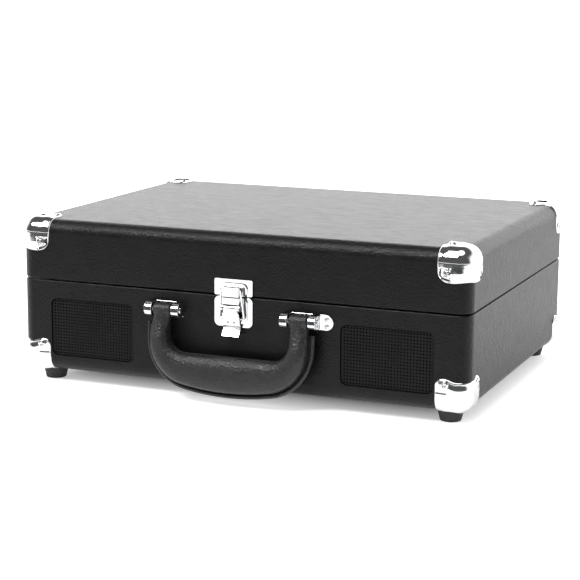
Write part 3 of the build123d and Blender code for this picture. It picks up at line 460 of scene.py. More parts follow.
def make_felt():
    look = Look("felt", (0.02, 0.02, 0.021), 0.95, ior=1.3)
    look.tint(look.noise(0.5, 4), (0.012, 0.012, 0.012), (0.035, 0.035, 0.036))
    look.bump(look.noise(0.35, 4), 0.12)
    look.shader.inputs["Sheen Weight"].default_value = 0.3
    look.shader.inputs["Sheen Roughness"].default_value = 0.6
    return look.material


def make_lining():
    """Printed paper with a fine linen emboss."""
    look = Look("lining", (0.028, 0.028, 0.03), 0.62, ior=1.4)
    weft = look.noise(0.5, 2, (0.1, 1, 0.1))
    warp = look.noise(0.5, 2, (1, 0.1, 1))
    look.bump(weft, 0.05)
    look.bump(warp, 0.05)
    look.tint(look.noise(0.6, 3), (0.022, 0.022, 0.024), (0.036, 0.036, 0.038))
    return look.material


def make_board():
    look = Look("board", (0.2, 0.13, 0.08), 0.7)
    look.tint(look.noise(1.6, 5), (0.13, 0.085, 0.052), (0.27, 0.185, 0.12))
    look.bump(look.noise(0.7, 4), 0.06)
    return look.material


def make_cone():
    look = Look("cone", (0.04, 0.04, 0.04), 0.8)
    look.tint(look.noise(0.8, 4), (0.03, 0.03, 0.03), (0.06, 0.06, 0.06))
    look.bump(look.noise(0.6, 4), 0.08)
    return look.material


def make_metal(name, color, low, high):
    look = Look(name, color, low, metallic=1.0)
    look.rough(look.noise(3, 4), low, high)
    look.bump(look.noise(0.6, 3), 0.008)
    return look.material


def make_circuit():
    look = Look("circuit", (0.015, 0.09, 0.035), 0.3)
    look.tint(look.noise(2.2, 2, (1, 0.15, 1)), (0.01, 0.06, 0.025), (0.03, 0.15, 0.06), 0.45, 0.55)
    look.rough(look.noise(3, 2), 0.25, 0.4)
    return look.material


leatherette = make_leatherette()
grip_leather = make_grip_leather()
chrome = make_chrome()
steel = make_steel("steel", (0.55, 0.55, 0.56), 0.25, 0.42)
brushed = make_steel("brushed", (0.62, 0.62, 0.63), 0.22, 0.36)
black_paint = make_plastic("black_paint", (0.004, 0.004, 0.0042), 0.55, 0.68, 0.02, 1.22)
deck_plastic = make_plastic("deck_plastic", (0.02, 0.02, 0.021), 0.45, 0.6, 0.05)
gloss_plastic = make_plastic("gloss_plastic", (0.012, 0.012, 0.013), 0.12, 0.24)
satin_plastic = make_plastic("satin_plastic", (0.02, 0.02, 0.02), 0.35, 0.48)
red_plastic = make_plastic("red_plastic", (0.4, 0.025, 0.015), 0.15, 0.25)
ferrite = make_plastic("ferrite", (0.06, 0.06, 0.063), 0.5, 0.7, 0.03)
rubber = make_rubber()
felt = make_felt()
lining_paper = make_lining()
board = make_board()
cone_paper = make_cone()
brass = make_metal("brass", (0.66, 0.48, 0.22), 0.22, 0.36)
gold_flash = make_metal("gold_flash", (0.78, 0.6, 0.28), 0.14, 0.25)
circuit = make_circuit()

# ==== Camera ====

# Angles in radians, place in millimetres, lens in millimetres on a 36 mm sensor
view_yaw = 0.39051
view_pitch = 0.19215
view_roll = 0.00676
view_from = Vector((503.5, case_y - 1247.94, 322.56))
view_lens = 107.14


def add_camera():
    """Look at the case from the front right, a little above it."""
    forward = Vector(
        (
            -math.sin(view_yaw) * math.cos(view_pitch),
            math.cos(view_yaw) * math.cos(view_pitch),
            -math.sin(view_pitch),
        )
    )
    right = Vector((math.cos(view_yaw), math.sin(view_yaw), 0))
    up = right.cross(forward)
    tilted_right = right * math.cos(view_roll) + up * math.sin(view_roll)
    tilted_up = up * math.cos(view_roll) - right * math.sin(view_roll)
    data = bpy.data.cameras.new("camera")
    data.lens = view_lens
    data.sensor_width = 36.0
    data.clip_end = 100.0
    camera = bpy.data.objects.new("camera", data)
    turn = Matrix((tilted_right, tilted_up, -forward)).transposed().to_4x4()
    turn.translation = view_from * MM
    camera.matrix_world = turn
    link(camera)
    bpy.context.scene.camera = camera


# ==== Studio ====


def add_floor():
    """A wide white floor with painted light: it glows all round the case, lifting the real shadow, and
    leaves a painted soft shadow under the case.
    """
    half_size = 30.0
    painted_shade_half_x = case_w / 2 - 44
    painted_shade_half_y = case_d / 2 - 52
    look = Look("floor", (0.88, 0.88, 0.88), 0.9)
    look.tint(look.noise(400, 2), (0.87, 0.87, 0.87), (0.89, 0.89, 0.89))
    # Painted light: the floor glows outside the case and fades to a painted soft shadow under its edges
    look.paint_light_outside(painted_shade_half_x, painted_shade_half_y, 48.0, 0.62)
    bm = bmesh.new()
    bmesh.ops.create_grid(bm, x_segments=8, y_segments=8, size=half_size)
    floor = bpy.data.objects.new("floor", as_mesh(bm, "floor"))
    floor.data.materials.append(look.material)
    link(floor)


def add_world():
    """A white sweep low behind the case, dim overhead and towards the camera."""
    world = bpy.data.worlds.new("studio")
    bpy.context.scene.world = world
    world.use_nodes = True
    tree = world.node_tree
    background = tree.nodes["Background"]
    place = tree.nodes.new("ShaderNodeTexCoord")
    split = tree.nodes.new("ShaderNodeSeparateXYZ")
    tree.links.new(place.outputs["Generated"], split.inputs["Vector"])

    behind = add_span(tree, split.outputs["Y"], -0.45, 0.25, 0.0, 1.0, "SMOOTHSTEP")
    low_down = add_span(tree, split.outputs["Z"], 0.3, 0.75, 1.0, 0.0, "SMOOTHSTEP")
    sweep_level = 3.4
    room_level = 0.13
    sweep = add_math(tree, "MULTIPLY", add_math(tree, "MULTIPLY", behind, low_down), sweep_level)
    tree.links.new(add_math(tree, "ADD", sweep, room_level), background.inputs["Strength"])
    background.inputs["Color"].default_value = (1, 1, 1, 1)


def add_sun(name, towards, energy, angle):
    """A round soft light, far away in the direction towards."""
    data = bpy.data.lights.new(name, "SUN")
    data.energy = energy
    data.angle = math.radians(angle)
    sun = bpy.data.objects.new(name, data)
    sun.matrix_world = Vector(towards).to_track_quat("Z", "Y").to_matrix().to_4x4()
    link(sun)


def add_lights():
    """A broad light overhead, and a softbox high in front that lights the rounded edges."""
    add_sun("overhead", (0.0, -0.24, 0.97), 1.1, 40)
    add_sun("softbox", (-0.37, -0.54, 0.75), 3.0, 26)


def add_flag():
    """A dark room in front of the table's edge, seen only in reflections."""
    look = Look("flag", (0.01, 0.01, 0.01), 0.9)
    half_w = 2.5
    half_d = 1.6
    gap = 0.50
    above_floor = 0.004
    bm = bmesh.new()
    bmesh.ops.create_grid(bm, x_segments=1, y_segments=1, size=1.0)
    bmesh.ops.scale(bm, vec=(half_w, half_d, 1), verts=bm.verts)
    flag = bpy.data.objects.new("flag", as_mesh(bm, "flag"))
    flag.location = (0, front_y * MM - gap - half_d, above_floor)
    flag.data.materials.append(look.material)
    link(flag)
    flag.visible_camera = False
    flag.visible_shadow = False
    flag.visible_diffuse = False


bpy.context.scene.view_settings.view_transform = "Standard"
add_camera()
add_floor()
add_world()
add_lights()
add_flag()

# ==== Case ====


def case_ring(inset, z):
    """The case's outline, set in by inset, at height z."""
    radius = max(corner_r - inset, 0.4)
    outline = rounded_rect(case_w - 2 * inset, case_d - 2 * inset, radius, 0, case_y, 10)
    return [(x, y, z) for x, y in outline]


def outer_turn(z, up):
    """The rounded outer edge at the roof (up 1) or the floor (up -1), from the flat to the wall."""
    rings = []
    for inset, drop in [(edge_r - x, edge_r - y) for x, y in arc(0, 0, edge_r, 90, 0, 10)]:
        rings.append(case_ring(inset, z - up * drop))
    return rings


lip_r = 1.3
inner_lip_r = 0.8


def lip(z, up):
    """The rolled edge at the seam, from the outer wall to the inner wall."""
    rings = []
    for inset, rise in [(lip_r + x, y) for x, y in arc(0, 0, lip_r, 180, 90, 5)]:
        rings.append(case_ring(inset, z - up * (lip_r - rise)))
    for inset, rise in [(wall - inner_lip_r + x, y) for x, y in arc(0, 0, inner_lip_r, 90, 0, 3)]:
        rings.append(case_ring(inset, z - up * (inner_lip_r - rise)))
    return rings


def rect_block(outline, at, depth):
    """A cutter: an outline pushed back and forth by depth."""
    bm = bmesh.new()
    rings = [[at @ Vector((x, y, side * depth)) for x, y in outline] for side in (-1, 1)]
    add_loft(bm, rings)
    return as_mesh(bm, "block")


grille_low, grille_high = corners("speaker_grilles")
grille_w = 69.5
grille_h = grille_high.z - grille_low.z
grille_z = (grille_high.z + grille_low.z) / 2
grille_x = grille_high.x - grille_w / 2
panel_low, panel_high = corners("rear_panel")
panel_mid = (panel_low + panel_high) / 2
cover_low, cover_high = corners("service_cover")
cover_mid = (cover_low + cover_high) / 2
cover_size = cover_high - cover_low


def make_base_shell():
    bm = bmesh.new()
    rings = outer_turn(foot_h, -1)
    rings += lip(base_top, 1)
    # A ledge for the deck, then the thicker wall down to the floor's upper face
    ledge_z = 66.0
    thick_wall = 8.0
    for inset, z in ((wall, ledge_z), (thick_wall, ledge_z), (thick_wall, foot_h + 5)):
        rings.append(case_ring(inset, z))
    add_loft(bm, rings)
    piece = make("base_case", bm, "case_base", ["base_shell"], "leatherette", leatherette, weld=0)
    grille = rounded_rect(grille_w, grille_h, 5)
    window = rounded_rect(64, 18, 3)
    opening = rounded_rect(cover_size.x - 19.4, cover_size.y - 19.4, 6)
    rebate = rounded_rect(cover_size.x + 0.6, cover_size.y + 0.6, 8)
    at_cover = facing_down(cover_mid.x, cover_mid.y, foot_h)
    cutters = [rect_block(grille, facing_front(side * grille_x, front_y, grille_z), 12) for side in (-1, 1)]
    cutters.append(rect_block(window, facing_back(panel_mid.x, rear_y, panel_mid.z), 12))
    cutters.append(rect_block(opening, at_cover, 8))
    cutters.append(rect_block(rebate, at_cover, 3))
    subtract(piece, cutters)


def make_lid_shell():
    bm = bmesh.new()
    rings = outer_turn(case_top, 1)
    rings += lip(lid_bottom, -1)
    rings.append(case_ring(wall, case_top - 5))
    add_loft(bm, rings)
    make("lid_case", bm, "lid", ["lid_shell"], "leatherette", leatherette, weld=0)


make_base_shell()
make_lid_shell()

# ==== Corner protectors ====

tab_reach = 24.6
lid_flat_reach = 29.0
base_flat_reach = 31.0


def smooth(value, low, high):
    """0 below low, 1 above high, with a soft step between."""
    t = min(max((value - low) / (high - low), 0), 1)
    return t * t * (3 - 2 * t)


arc_len = math.pi / 2 * corner_r
front_run = tab_reach - corner_r
path_len = 2 * front_run + arc_len


def path_at(s):
    """Point and outward direction at s along the outline of the right front corner."""
    if s < front_run:
        return Vector((-tab_reach + s, 0)), Vector((0, -1))
    if s > front_run + arc_len:
        return Vector((0, corner_r + s - front_run - arc_len)), Vector((1, 0))
    angle = (s - front_run) / arc_len * math.pi / 2
    out = Vector((math.sin(angle), -math.cos(angle)))
    return Vector((-corner_r, corner_r)) + out * corner_r, out


def end_round(distance, radius):
    """How far a rounded end has drawn back, at distance from the end."""
    if distance >= radius:
        return 0.0
    return radius - math.sqrt(max(radius * radius - (radius - distance) ** 2, 0))


def protector_patch(bm, place, lid):
    """One stamped corner: along the outline, up the wall and over the rounded edge.

    Place turns a point of the right front corner, given by its x from the side face, its
    distance in from the front and its distance from the flat, into the case's frame.
    """
    columns = 76
    wall_rows = 26
    turn_rows = 12
    far = 99
    rim_r = 0.9
    grid = []
    for i in range(columns + 1):
        s = path_len * i / columns
        near_end = min(s, path_len - s)
        start, out = path_at(s)
        middle = abs(s - path_len / 2) / (path_len / 2)
        if lid:
            low_edge = 23.4 - end_round(near_end, 7.5) - 0.5 * math.cos(math.pi * middle * 2)
        else:
            low_edge = 22.4 + 2.0 * smooth(middle, 0.3, 0.7) - end_round(near_end, 5.5)
        column = []
        for j in range(wall_rows + turn_rows + 1):
            if j <= wall_rows:
                t = j / wall_rows
                drop = low_edge + (edge_r - low_edge) * t
                inset = 0.0
                tilt = 0.0
            else:
                angle = math.pi / 2 * (j - wall_rows) / turn_rows
                drop = edge_r - edge_r * math.sin(angle)
                inset = edge_r - edge_r * math.cos(angle)
                tilt = angle
            near_low = low_edge - drop if j <= wall_rows else far
            edge = min(near_end, near_low)
            # The rim is rolled down to the case, and the middle stands a little prouder
            lift = skin * math.sqrt(max(1 - (1 - min(edge / rim_r, 1)) ** 2, 0)) * 0.92 + 0.07
            lift += 0.75 * smooth(edge, 0.5, 7.0)
            if lid:
                # A square pocket is pressed round each upright tab's screw
                along = smooth(near_end, 9.2, 9.9)
                above = 1 - smooth(drop, 13.3, 14.0)
                lift -= 1.1 * (1 - max(along, above)) * smooth(edge, 0.9, 1.8)
            else:
                # A crease is pressed under each upright tab's screw
                crease = math.exp(-(((drop - 14.6) / 0.45) ** 2)) * (1 - smooth(near_end, 8.5, 9.5))
                lift -= 0.45 * crease * smooth(edge, 0.6, 1.2)
            column.append((start, out, drop, inset, tilt, lift))
        grid.append(column)

    def point(cell, raise_by):
        start, out, drop, inset, tilt, _ = cell
        flat = start - out * inset + out * math.cos(tilt) * raise_by
        return place(flat.x, flat.y, drop - math.sin(tilt) * raise_by)

    outer = [[bm.verts.new(point(cell, cell[5])) for cell in column] for column in grid]
    inner = [[bm.verts.new(point(cell, -0.1)) for cell in column] for column in grid]
    rows = len(grid[0])
    for layer in (outer, inner):
        for a, b in zip(layer, layer[1:]):
            for j in range(rows - 1):
                bm.faces.new((a[j], b[j], b[j + 1], a[j + 1]))
    for a_out, b_out, a_in, b_in in zip(outer, outer[1:], inner, inner[1:]):
        bm.faces.new((a_out[0], b_out[0], b_in[0], a_in[0]))
    for column_out, column_in in ((outer[0], inner[0]), (outer[-1], inner[-1])):
        for j in range(rows - 1):
            bm.faces.new((column_out[j], column_out[j + 1], column_in[j + 1], column_in[j]))


def corner_places(flat_z, up):
    """Functions that place a right-front-corner point at each of the four corners."""
    places = []
    for side in (-1, 1):
        for end in (-1, 1):

            def place(x, y, drop, side=side, end=end):
                edge_y = case_y + end * case_d / 2
                return Vector((side * (case_w / 2 + x), edge_y - end * y, flat_z - up * drop))

            places.append(place)
    return places


def add_flat_tab(bm, place, reach, thickness):
    """A flat, bevelled tab that overlaps the patch's last row."""
    front_x = -tab_reach
    # From the front end of the last row, in to the far corner, and back to the side end
    r = 8.0
    outline = [(front_x, edge_r - 0.2), (front_x + 1.2, reach - r - 4)]
    outline += arc(front_x + r + 1.5, reach - r, r, 180, 90, 7)
    outline += [(-edge_r + 0.2, tab_reach)]
    inner_r = corner_r - edge_r
    inner_arc = []
    for i in range(9):
        a = math.radians(90 - 90 * i / 8)
        inner_arc.append((-corner_r + inner_r * math.sin(a), corner_r - inner_r * math.cos(a)))
    outline += inner_arc
    rings = []
    middle = Vector((-14, 16))
    for draw, lift in ((0.0, -0.1), (0.0, thickness * 0.45), (0.35, thickness * 0.85), (0.8, thickness)):
        ring = []
        for x, y in outline:
            flat = Vector((x, y))
            towards = (middle - flat).normalized()
            on_patch = (x, y) in inner_arc or y <= edge_r or x >= -edge_r
            pulled = flat if on_patch else flat + towards * draw
            height = thickness if on_patch and lift > 0 else lift
            ring.append(place(pulled.x, pulled.y, -height))
        rings.append(ring)
    add_loft(bm, rings)


def make_protectors(name, body, node, lid):
    bm = bmesh.new()
    up = 1 if lid else -1
    flat_z = case_top if lid else foot_h
    for place in corner_places(flat_z, up):
        protector_patch(bm, place, lid)
        add_flat_tab(bm, place, lid_flat_reach if lid else base_flat_reach, skin * 0.97)
    make(name, bm, body, [node], "chrome", chrome, sharp=50, weld=0)


make_protectors("lid_corners", "lid", "lid_corner_protectors", True)
make_protectors("base_corners", "case_base", "base_corner_protectors", False)

# ==== Screws ====


def phillips_head(radius, height, turn):
    """A domed screw head with a cross recess turned by turn degrees, its seat on the local plane."""
    bm = bmesh.new()
    rings = []
    radial = 13
    steps = 48
    arm = radius * 0.58
    half = radius * 0.15
    for i in range(radial + 1):
        r = radius * i / radial
        ring = []
        for k in range(steps):
            angle = 2 * math.pi * k / steps
            x = r * math.cos(angle)
            y = r * math.sin(angle)
            dome = height * math.sqrt(max(1 - (r / radius) ** 2.6, 0))
            twist = angle + math.radians(turn)
            u = abs(r * math.cos(twist))
            v = abs(r * math.sin(twist))
            across = 1 - smooth(min(u, v), half * 0.7, half * 1.5)
            along = 1 - smooth(max(u, v), arm * 0.85, arm)
            ring.append((x, y, dome - across * along * height * 0.62))
        rings.append(ring)
    centre = rings[0]
    rings[0] = [(0.0, 0.0, centre[0][2])] * steps
    rings.append([(x, y, -0.3) for x, y, _ in rings[-1]])
    add_loft(bm, rings, cap_start=False)
    bmesh.ops.remove_doubles(bm, verts=bm.verts, dist=0.0005)
    return as_mesh(bm, "phillips")


def make_screws(name, body, node, places, radius, height, slot="chrome", material=chrome):
    """Cross-head screws, each with its seat on one of places."""
    bm = bmesh.new()
    for i, place in enumerate(places):
        # Each recess is turned differently, as driven screws are
        head = phillips_head(radius, height, 20 + 53 * i)
        head.transform(place)
        bm.from_mesh(head)
        bpy.data.meshes.remove(head)
    make(name, bm, body, [node], slot, material, sharp=40, weld=0)


# Screws from the middle of the case, from its front or rear face, and on the roof
front_screw_x = 160.3
side_screw_in = 18.4
roof_screw_x = 157.6
roof_screw_in = 21.0


def protector_screw_places(z, seat, on_roof):
    """Seats at height z on the front, rear and side faces, and on the roof if asked."""
    places = []
    for side in (-1, 1):
        for end in (-1, 1):
            edge_y = case_y + end * case_d / 2
            face = facing_front if end < 0 else facing_back
            places.append(face(side * front_screw_x, edge_y + end * seat, z))
            at_side = (side * (case_w / 2 + seat), edge_y - end * side_screw_in, z)
            places.append(axes_at(at_side, (0, side, 0), (0, 0, 1)))
            if on_roof:
                places.append(facing_up(side * roof_screw_x, edge_y - end * roof_screw_in, case_top + skin))
    return places


lid_places = protector_screw_places(107.6, 0.5, True)
base_places = protector_screw_places(29.8, 0.95, False)
make_screws("lid_corner_screws", "lid", "lid_protector_screws", lid_places, 3.15, 1.3)
make_screws("base_corner_screws", "case_base", "base_protector_screws", base_places, 3.15, 1.3)

# ==== Speakers ====

hole_pitch = 2.35
hole_r = 0.62
sheet_t = 0.8
grille_front = grille_low.y


def add_perforated(bm, at, columns, rows):
    """A sheet of square cells, each with a round hole, from the local plane back by sheet_t."""
    half = hole_pitch / 2
    ring_steps = 8
    for row in range(rows):
        for column in range(columns):
            cx = (column - (columns - 1) / 2) * hole_pitch
            cy = (row - (rows - 1) / 2) * hole_pitch
            layers = []
            for depth in (0.0, -sheet_t):
                hole = []
                frame_ring = []
                for k in range(ring_steps):
                    angle = 2 * math.pi * k / ring_steps
                    c = math.cos(angle)
                    s = math.sin(angle)
                    hole.append(bm.verts.new(at @ Vector((cx + hole_r * c, cy + hole_r * s, depth))))
                    reach = half / max(abs(c), abs(s))
                    frame_ring.append(bm.verts.new(at @ Vector((cx + reach * c, cy + reach * s, depth))))
                layers.append((hole, frame_ring))
            (front_hole, front_frame), (back_hole, back_frame) = layers
            for k in range(ring_steps):
                n = (k + 1) % ring_steps
                bm.faces.new((front_hole[k], front_frame[k], front_frame[n], front_hole[n]))
                bm.faces.new((back_hole[k], back_hole[n], back_frame[n], back_frame[k]))
                bm.faces.new((front_hole[k], front_hole[n], back_hole[n], back_hole[k]))


def make_grilles():
    bm = bmesh.new()
    columns = 28
    rows = 18
    rim = rounded_rect(grille_w - 0.8, grille_h - 0.8, 4.6)
    field = rounded_rect(columns * hole_pitch - 0.02, rows * hole_pitch - 0.02, 0.2, steps=2)
    for side in (-1, 1):
        at = facing_front(side * grille_x, grille_front, grille_z)
        add_perforated(bm, at, columns, rows)
        back = at @ Matrix.Translation((0, 0, -1.4))
        add_plate(bm, [rim, field], 1.45, back, bevel=0.12)
    make("grille_sheets", bm, "case_base", ["speaker_grilles"], "grille_black", black_paint)


def make_cones():
    bm = bmesh.new()
    low, high = corners("speaker_cones")
    middle_z = (low.z + high.z) / 2
    # The rolled surround, the cone and the dust cap, from the edge to the middle
    face = [(20.2, -0.4), (20.1, -1.1)]
    face += [(18.0 + x, -1.0 + y) for x, y in arc(0, 0, 1.7, 0, 180, 8)]
    face += [(15.8, -1.6), (8.6, -8.6)]
    for i in range(8):
        a = math.pi / 2 * i / 8
        face.append((7.2 * math.cos(a), -8.2 + 3.2 * math.sin(a)))
    face.append((0, -5.0))
    back = [(20.2, -0.4), (20.2, -2.0), (8.4, -10.4), (0, -10.6)]
    for side in (-1, 1):
        at = facing_front(side * grille_x, low.y - 0.4, middle_z)
        add_lathe(bm, face, at, 40)
        add_lathe(bm, back, at, 40)
    make("speaker_diaphragms", bm, "case_base", ["speaker_cones"], "cone_paper", cone_paper)


make_grilles()
make_cones()

# ==== Feet ====


def make_feet():
    bm = bmesh.new()
    low, high = corners("feet")
    profile = [(1.7, 4.2), (3.2, 4.2), (3.4, 4.0), (3.4, 0.5), (3.9, 0.05)]
    profile += [(6.9 + x, 0.85 + y) for x, y in arc(0, 0, 0.85, -90, -10, 5)]
    profile += [(8.4, 3.4), (9.0, 5.6), (9.65, 7.9), (9.8, 8.5), (9.5, 8.7), (1.7, 8.7), (1.7, 4.2)]
    reach_x = high.x - 10.2
    reach_y = (high.y - low.y) / 2 - 10.2
    screw_z = 4.2
    cover_reach = (cover_size - Vector((9.4, 9.4, 0))) / 2
    foot_screws = []
    cover_screws = []
    for side in (-1, 1):
        for end in (-1, 1):
            x = side * reach_x
            y = case_y + end * reach_y
            add_lathe(bm, profile, facing_up(x, y, 0), 40)
            foot_screws.append(facing_down(x, y, screw_z))
            x = cover_mid.x + side * cover_reach.x
            y = cover_mid.y + end * cover_reach.y
            cover_screws.append(facing_down(x, y, foot_h))
    make("rubber_feet", bm, "case_base", ["feet"], "rubber_black", rubber)
    places = foot_screws + cover_screws
    make_screws("underside_screws", "case_base", "bottom_screws", places, 3.0, 1.5, "steel", steel)


make_feet()

# ==== Carrying handle ====

pins_low, pins_high = corners("handle_pins")
pivot = (pins_low + pins_high) / 2
bracket_x = pins_high.x - 14.6
handle_tilt = math.radians(6.5)
handle_at = axes_at((0, pivot.y, pivot.z), (1, 0, 0), (0, math.sin(handle_tilt), math.cos(handle_tilt)))
handle_half = 66.0
gap_half = 48.0
gap_drop = 30.3
gap_turn = 14.0
grip_inset = 3.8
bow_top = 135.5
bow_r = 196.0
turn_x = 28.0
turn_y = -20.0


def u_paths(inset, leg_stops):
    """Matching points on the inside and the outside of the U, from the middle to a leg's top."""
    outer = handle_half - inset
    turn_r = outer - turn_x
    lean = math.degrees(math.atan2(turn_x, bow_top - turn_y))
    inner_pts = []
    outer_pts = []
    steps = 12
    for i in range(steps):
        t = i / steps
        inner_pts.append(((gap_half - gap_turn) * t, -gap_drop))
        angle = math.radians(-90 + lean * t)
        outer_pts.append(((bow_r - inset) * math.cos(angle), bow_top + (bow_r - inset) * math.sin(angle)))
    for i in range(15):
        t = i / 14
        inner_pts.append(arc(gap_half - gap_turn, -gap_drop + gap_turn, gap_turn, -90 + 90 * t, 0, 1)[0])
        outer_pts.append(arc(turn_x, turn_y, turn_r, (-90 + lean) * (1 - t), 0, 1)[0])
    for inner_x, inner_y, outer_x, outer_y in leg_stops:
        inner_pts.append((inner_x, inner_y))
        outer_pts.append((outer_x, outer_y))
    return inner_pts, outer_pts


def mirrored(sections):
    """Sections from one leg's top, through the middle, to the other's."""
    other = [[(-x, y, z) for x, y, z in section] for section in reversed(sections[1:])]
    return other + sections


def add_swept(bm, sections):
    """One leg's sections and their mirror images, skinned in the handle's frame."""
    rings = [[handle_at @ Vector(point) for point in section] for section in mirrored(sections)]
    add_loft(bm, rings)


def make_grip():
    """The padded grip, fused with the barrels that turn on the pins."""
    legs = [
        (48.0, -14, 62.2, -16),
        (48.0, -11, 62.1, -12),
        (47.3, -7.5, 61.3, -7.5),
        (46.6, -4, 60.9, -4),
        (46.5, 0, 60.9, 0),
    ]
    inner_pts, outer_pts = u_paths(grip_inset, legs)
    sections = []
    power = 2 / 2.5
    for (ix, iy), (ox, oy) in zip(inner_pts, outer_pts):
        height = (iy + oy) / 2
        crown = 5.0 + 4.4 * smooth(-height, 3, 26)
        floor_z = -4.2 + 5.0 * smooth(-height, 1, 12)
        section = []
        for k in range(19):
            angle = math.pi * k / 18
            c = math.cos(angle)
            s = math.sin(angle)
            u = 0.5 - 0.5 * math.copysign(abs(c) ** power, c)
            z = floor_z + (crown - floor_z) * s**power
            section.append((ix + (ox - ix) * u, iy + (oy - iy) * u, z))
        sections.append(section)
    bm = bmesh.new()
    add_swept(bm, sections)
    half_barrel = [(4.85, 6.2), (4.6, 6.8), (3.9, 7.1), (0, 7.1)]
    barrel = [(radius, -x) for radius, x in reversed(half_barrel)] + half_barrel
    for side in (-1, 1):
        axle = axes_at((side * bracket_x, pivot.y, pivot.z), (0, 1, 0), (0, 0, 1))
        add_lathe(bm, barrel, axle, 32)
    grip = make("handle_padding", bm, "handle", ["handle_grip"], "handle_plastic", grip_leather, weld=0)
    grip.modifiers.clear()
    fuse = grip.modifiers.new("fuse", "REMESH")
    fuse.mode = "VOXEL"
    fuse.voxel_size = 0.7 * MM
    fuse.use_smooth_shade = True
    even = grip.modifiers.new("even", "SMOOTH")
    even.factor = 0.5
    even.iterations = 6
    mesh = with_modifiers(grip)
    grip.modifiers.clear()
    grip.data = mesh
    if not mesh.materials:
        mesh.materials.append(grip_leather)


def make_strip():
    """The stiff strip behind the grip, with a stitched lip round its outer edge."""
    legs = [(48.0, -14, 66.0, -16), (48.0, -9.4, 66.0, -9.4)]
    inner_pts, outer_pts = u_paths(0, legs)
    sections = []
    for (ix, iy), (ox, oy) in zip(inner_pts, outer_pts):
        w = math.hypot(ox - ix, oy - iy)
        ring = [(0.4, -2.9), (0.0, -2.4), (0.0, 0.4), (0.3, 0.7)]
        ring += [(w - 4.6, 0.7), (w - 4.1, -0.5), (w - 3.5, -0.7), (w - 3.0, 0.2), (w - 2.3, 0.85)]
        ring += [(w - 1.4, 0.95), (w - 0.6, 0.5), (w - 0.08, -0.5), (w - 0.05, -1.6)]
        ring += [(w - 0.5, -2.5), (w - 1.3, -2.9)]
        sections.append([(ix + (ox - ix) * u / w, iy + (oy - iy) * u / w, z) for u, z in ring])
    bm = bmesh.new()
    add_swept(bm, sections)
    make("handle_lip", bm, "handle", ["handle_back"], "handle_plastic", grip_leather, sharp=50, weld=0)


make_grip()
make_strip()

# ==== Handle brackets ====

ear_low = 7.9
ear_high = 13.8
ear_r = 5.3
plate_t = 1.2


def ear_outline():
    """The side of a folded ear: round in front, open to the wall, with a crease at its tip."""
    out = pivot.y - front_y
    points = [(-0.2, -ear_r), (out, -ear_r)]
    points += [(out - x, y) for x, y in arc(0, 0, ear_r, -90, -7, 12)][1:]
    points += [(out - ear_r + 0.75, 0.0)]
    points += [(out - x, y) for x, y in arc(0, 0, ear_r, 7, 90, 12)]
    points += [(-0.2, ear_r)]
    return points


def make_brackets():
    """Two brackets with folded ears: the right one on a flange, the left one on a plain foot."""
    bm = bmesh.new()
    plate_z = pivot.z - 0.4
    plate_h = 11.4
    flange = rounded_rect(2 * ear_high + 10, plate_h, 5.65, steps=10)
    add_plate(bm, [flange], plate_t, facing_front(bracket_x + 5, front_y, plate_z), bevel=0.35)
    foot = rounded_rect(2 * ear_high, plate_h, 1.5)
    add_plate(bm, [foot], plate_t, facing_front(-bracket_x, front_y, plate_z), bevel=0.35)
    for side in (-1, 1):
        for low in (-ear_high, ear_low):
            at = facing_right(side * bracket_x + low, front_y, pivot.z)
            add_plate(bm, [ear_outline()], ear_high - ear_low, at, bevel=0.55, segments=3)
    # The bend between the right bracket's outer ear and its flange
    bend_r = 3.4
    bend = [(0, 0), (0, bend_r)]
    bend += [(bend_r - x, bend_r - y) for x, y in arc(0, 0, bend_r, 0, 90, 8)] + [(bend_r, 0)]
    root = bracket_x + ear_high
    rings = [[(root + u, front_y - plate_t - v, pivot.z + z) for u, v in bend] for z in (-4.6, 4.6)]
    add_loft(bm, rings)
    make("bracket_pressings", bm, "case_base", ["handle_brackets"], "chrome", chrome)
    bm = bmesh.new()
    domed = [(1.7, 0), (1.65, 0.25), (1.35, 0.5), (0.8, 0.66), (0, 0.7)]
    flush = [(0.9, -0.5), (0.9, -0.05), (0.85, 0), (0, 0.02)]
    rivet_x = corners("bracket_rivets")[1].x - domed[0][0]
    for up in (2.2, -3.0):
        for rivet, x in ((domed, rivet_x), (flush, -bracket_x)):
            add_lathe(bm, rivet, facing_front(x, front_y - plate_t, pivot.z + up), 20)
    make("bracket_rivet_heads", bm, "case_base", ["bracket_rivets"], "chrome", steel)


make_brackets()

# ==== Latch ====


def make_bail():
    low, high = corners("latch_bail")
    wire = 0.85
    top_z = high.z - wire
    foot_z = low.z + wire
    top_y = low.y + wire
    foot_y = high.y - wire
    run = [(-5.6, foot_y, foot_z), (-10.3, foot_y, foot_z), (-8.0, top_y, top_z)]
    run += [(-x, y, z) for x, y, z in reversed(run)]
    bm = bmesh.new()
    add_tube(bm, rounded_path(run, 1.6, 8), wire, 14)
    make("bail_wire", bm, "latch_bail", ["latch_bail"], "chrome", chrome, sharp=60, weld=0)


make_bail()

# ==== Rear hinges ====


def hinge_screw_places(node):
    """Two heads on each of the two leaves, facing the rear."""
    low, high = corners(node)
    z = (low.z + high.z) / 2
    seat = high.y - 1.2
    outer = high.x - 2.8
    inner = outer - 24.0
    return [facing_back(x, seat, z) for x in (-outer, -inner, inner, outer)]


for hinge_body, hinge_node in (("case_base", "hinge_base_screws"), ("lid", "hinge_lid_screws")):
    make_screws(hinge_node + "_heads", hinge_body, hinge_node, hinge_screw_places(hinge_node), 2.8, 1.15)

# ==== Deck ====

platter_low, platter_high = corners("platter")
platter_mid = (platter_low + platter_high) / 2
platter_r = (platter_high.x - platter_low.x) / 2
mat_low, mat_high = corners("platter_mat")


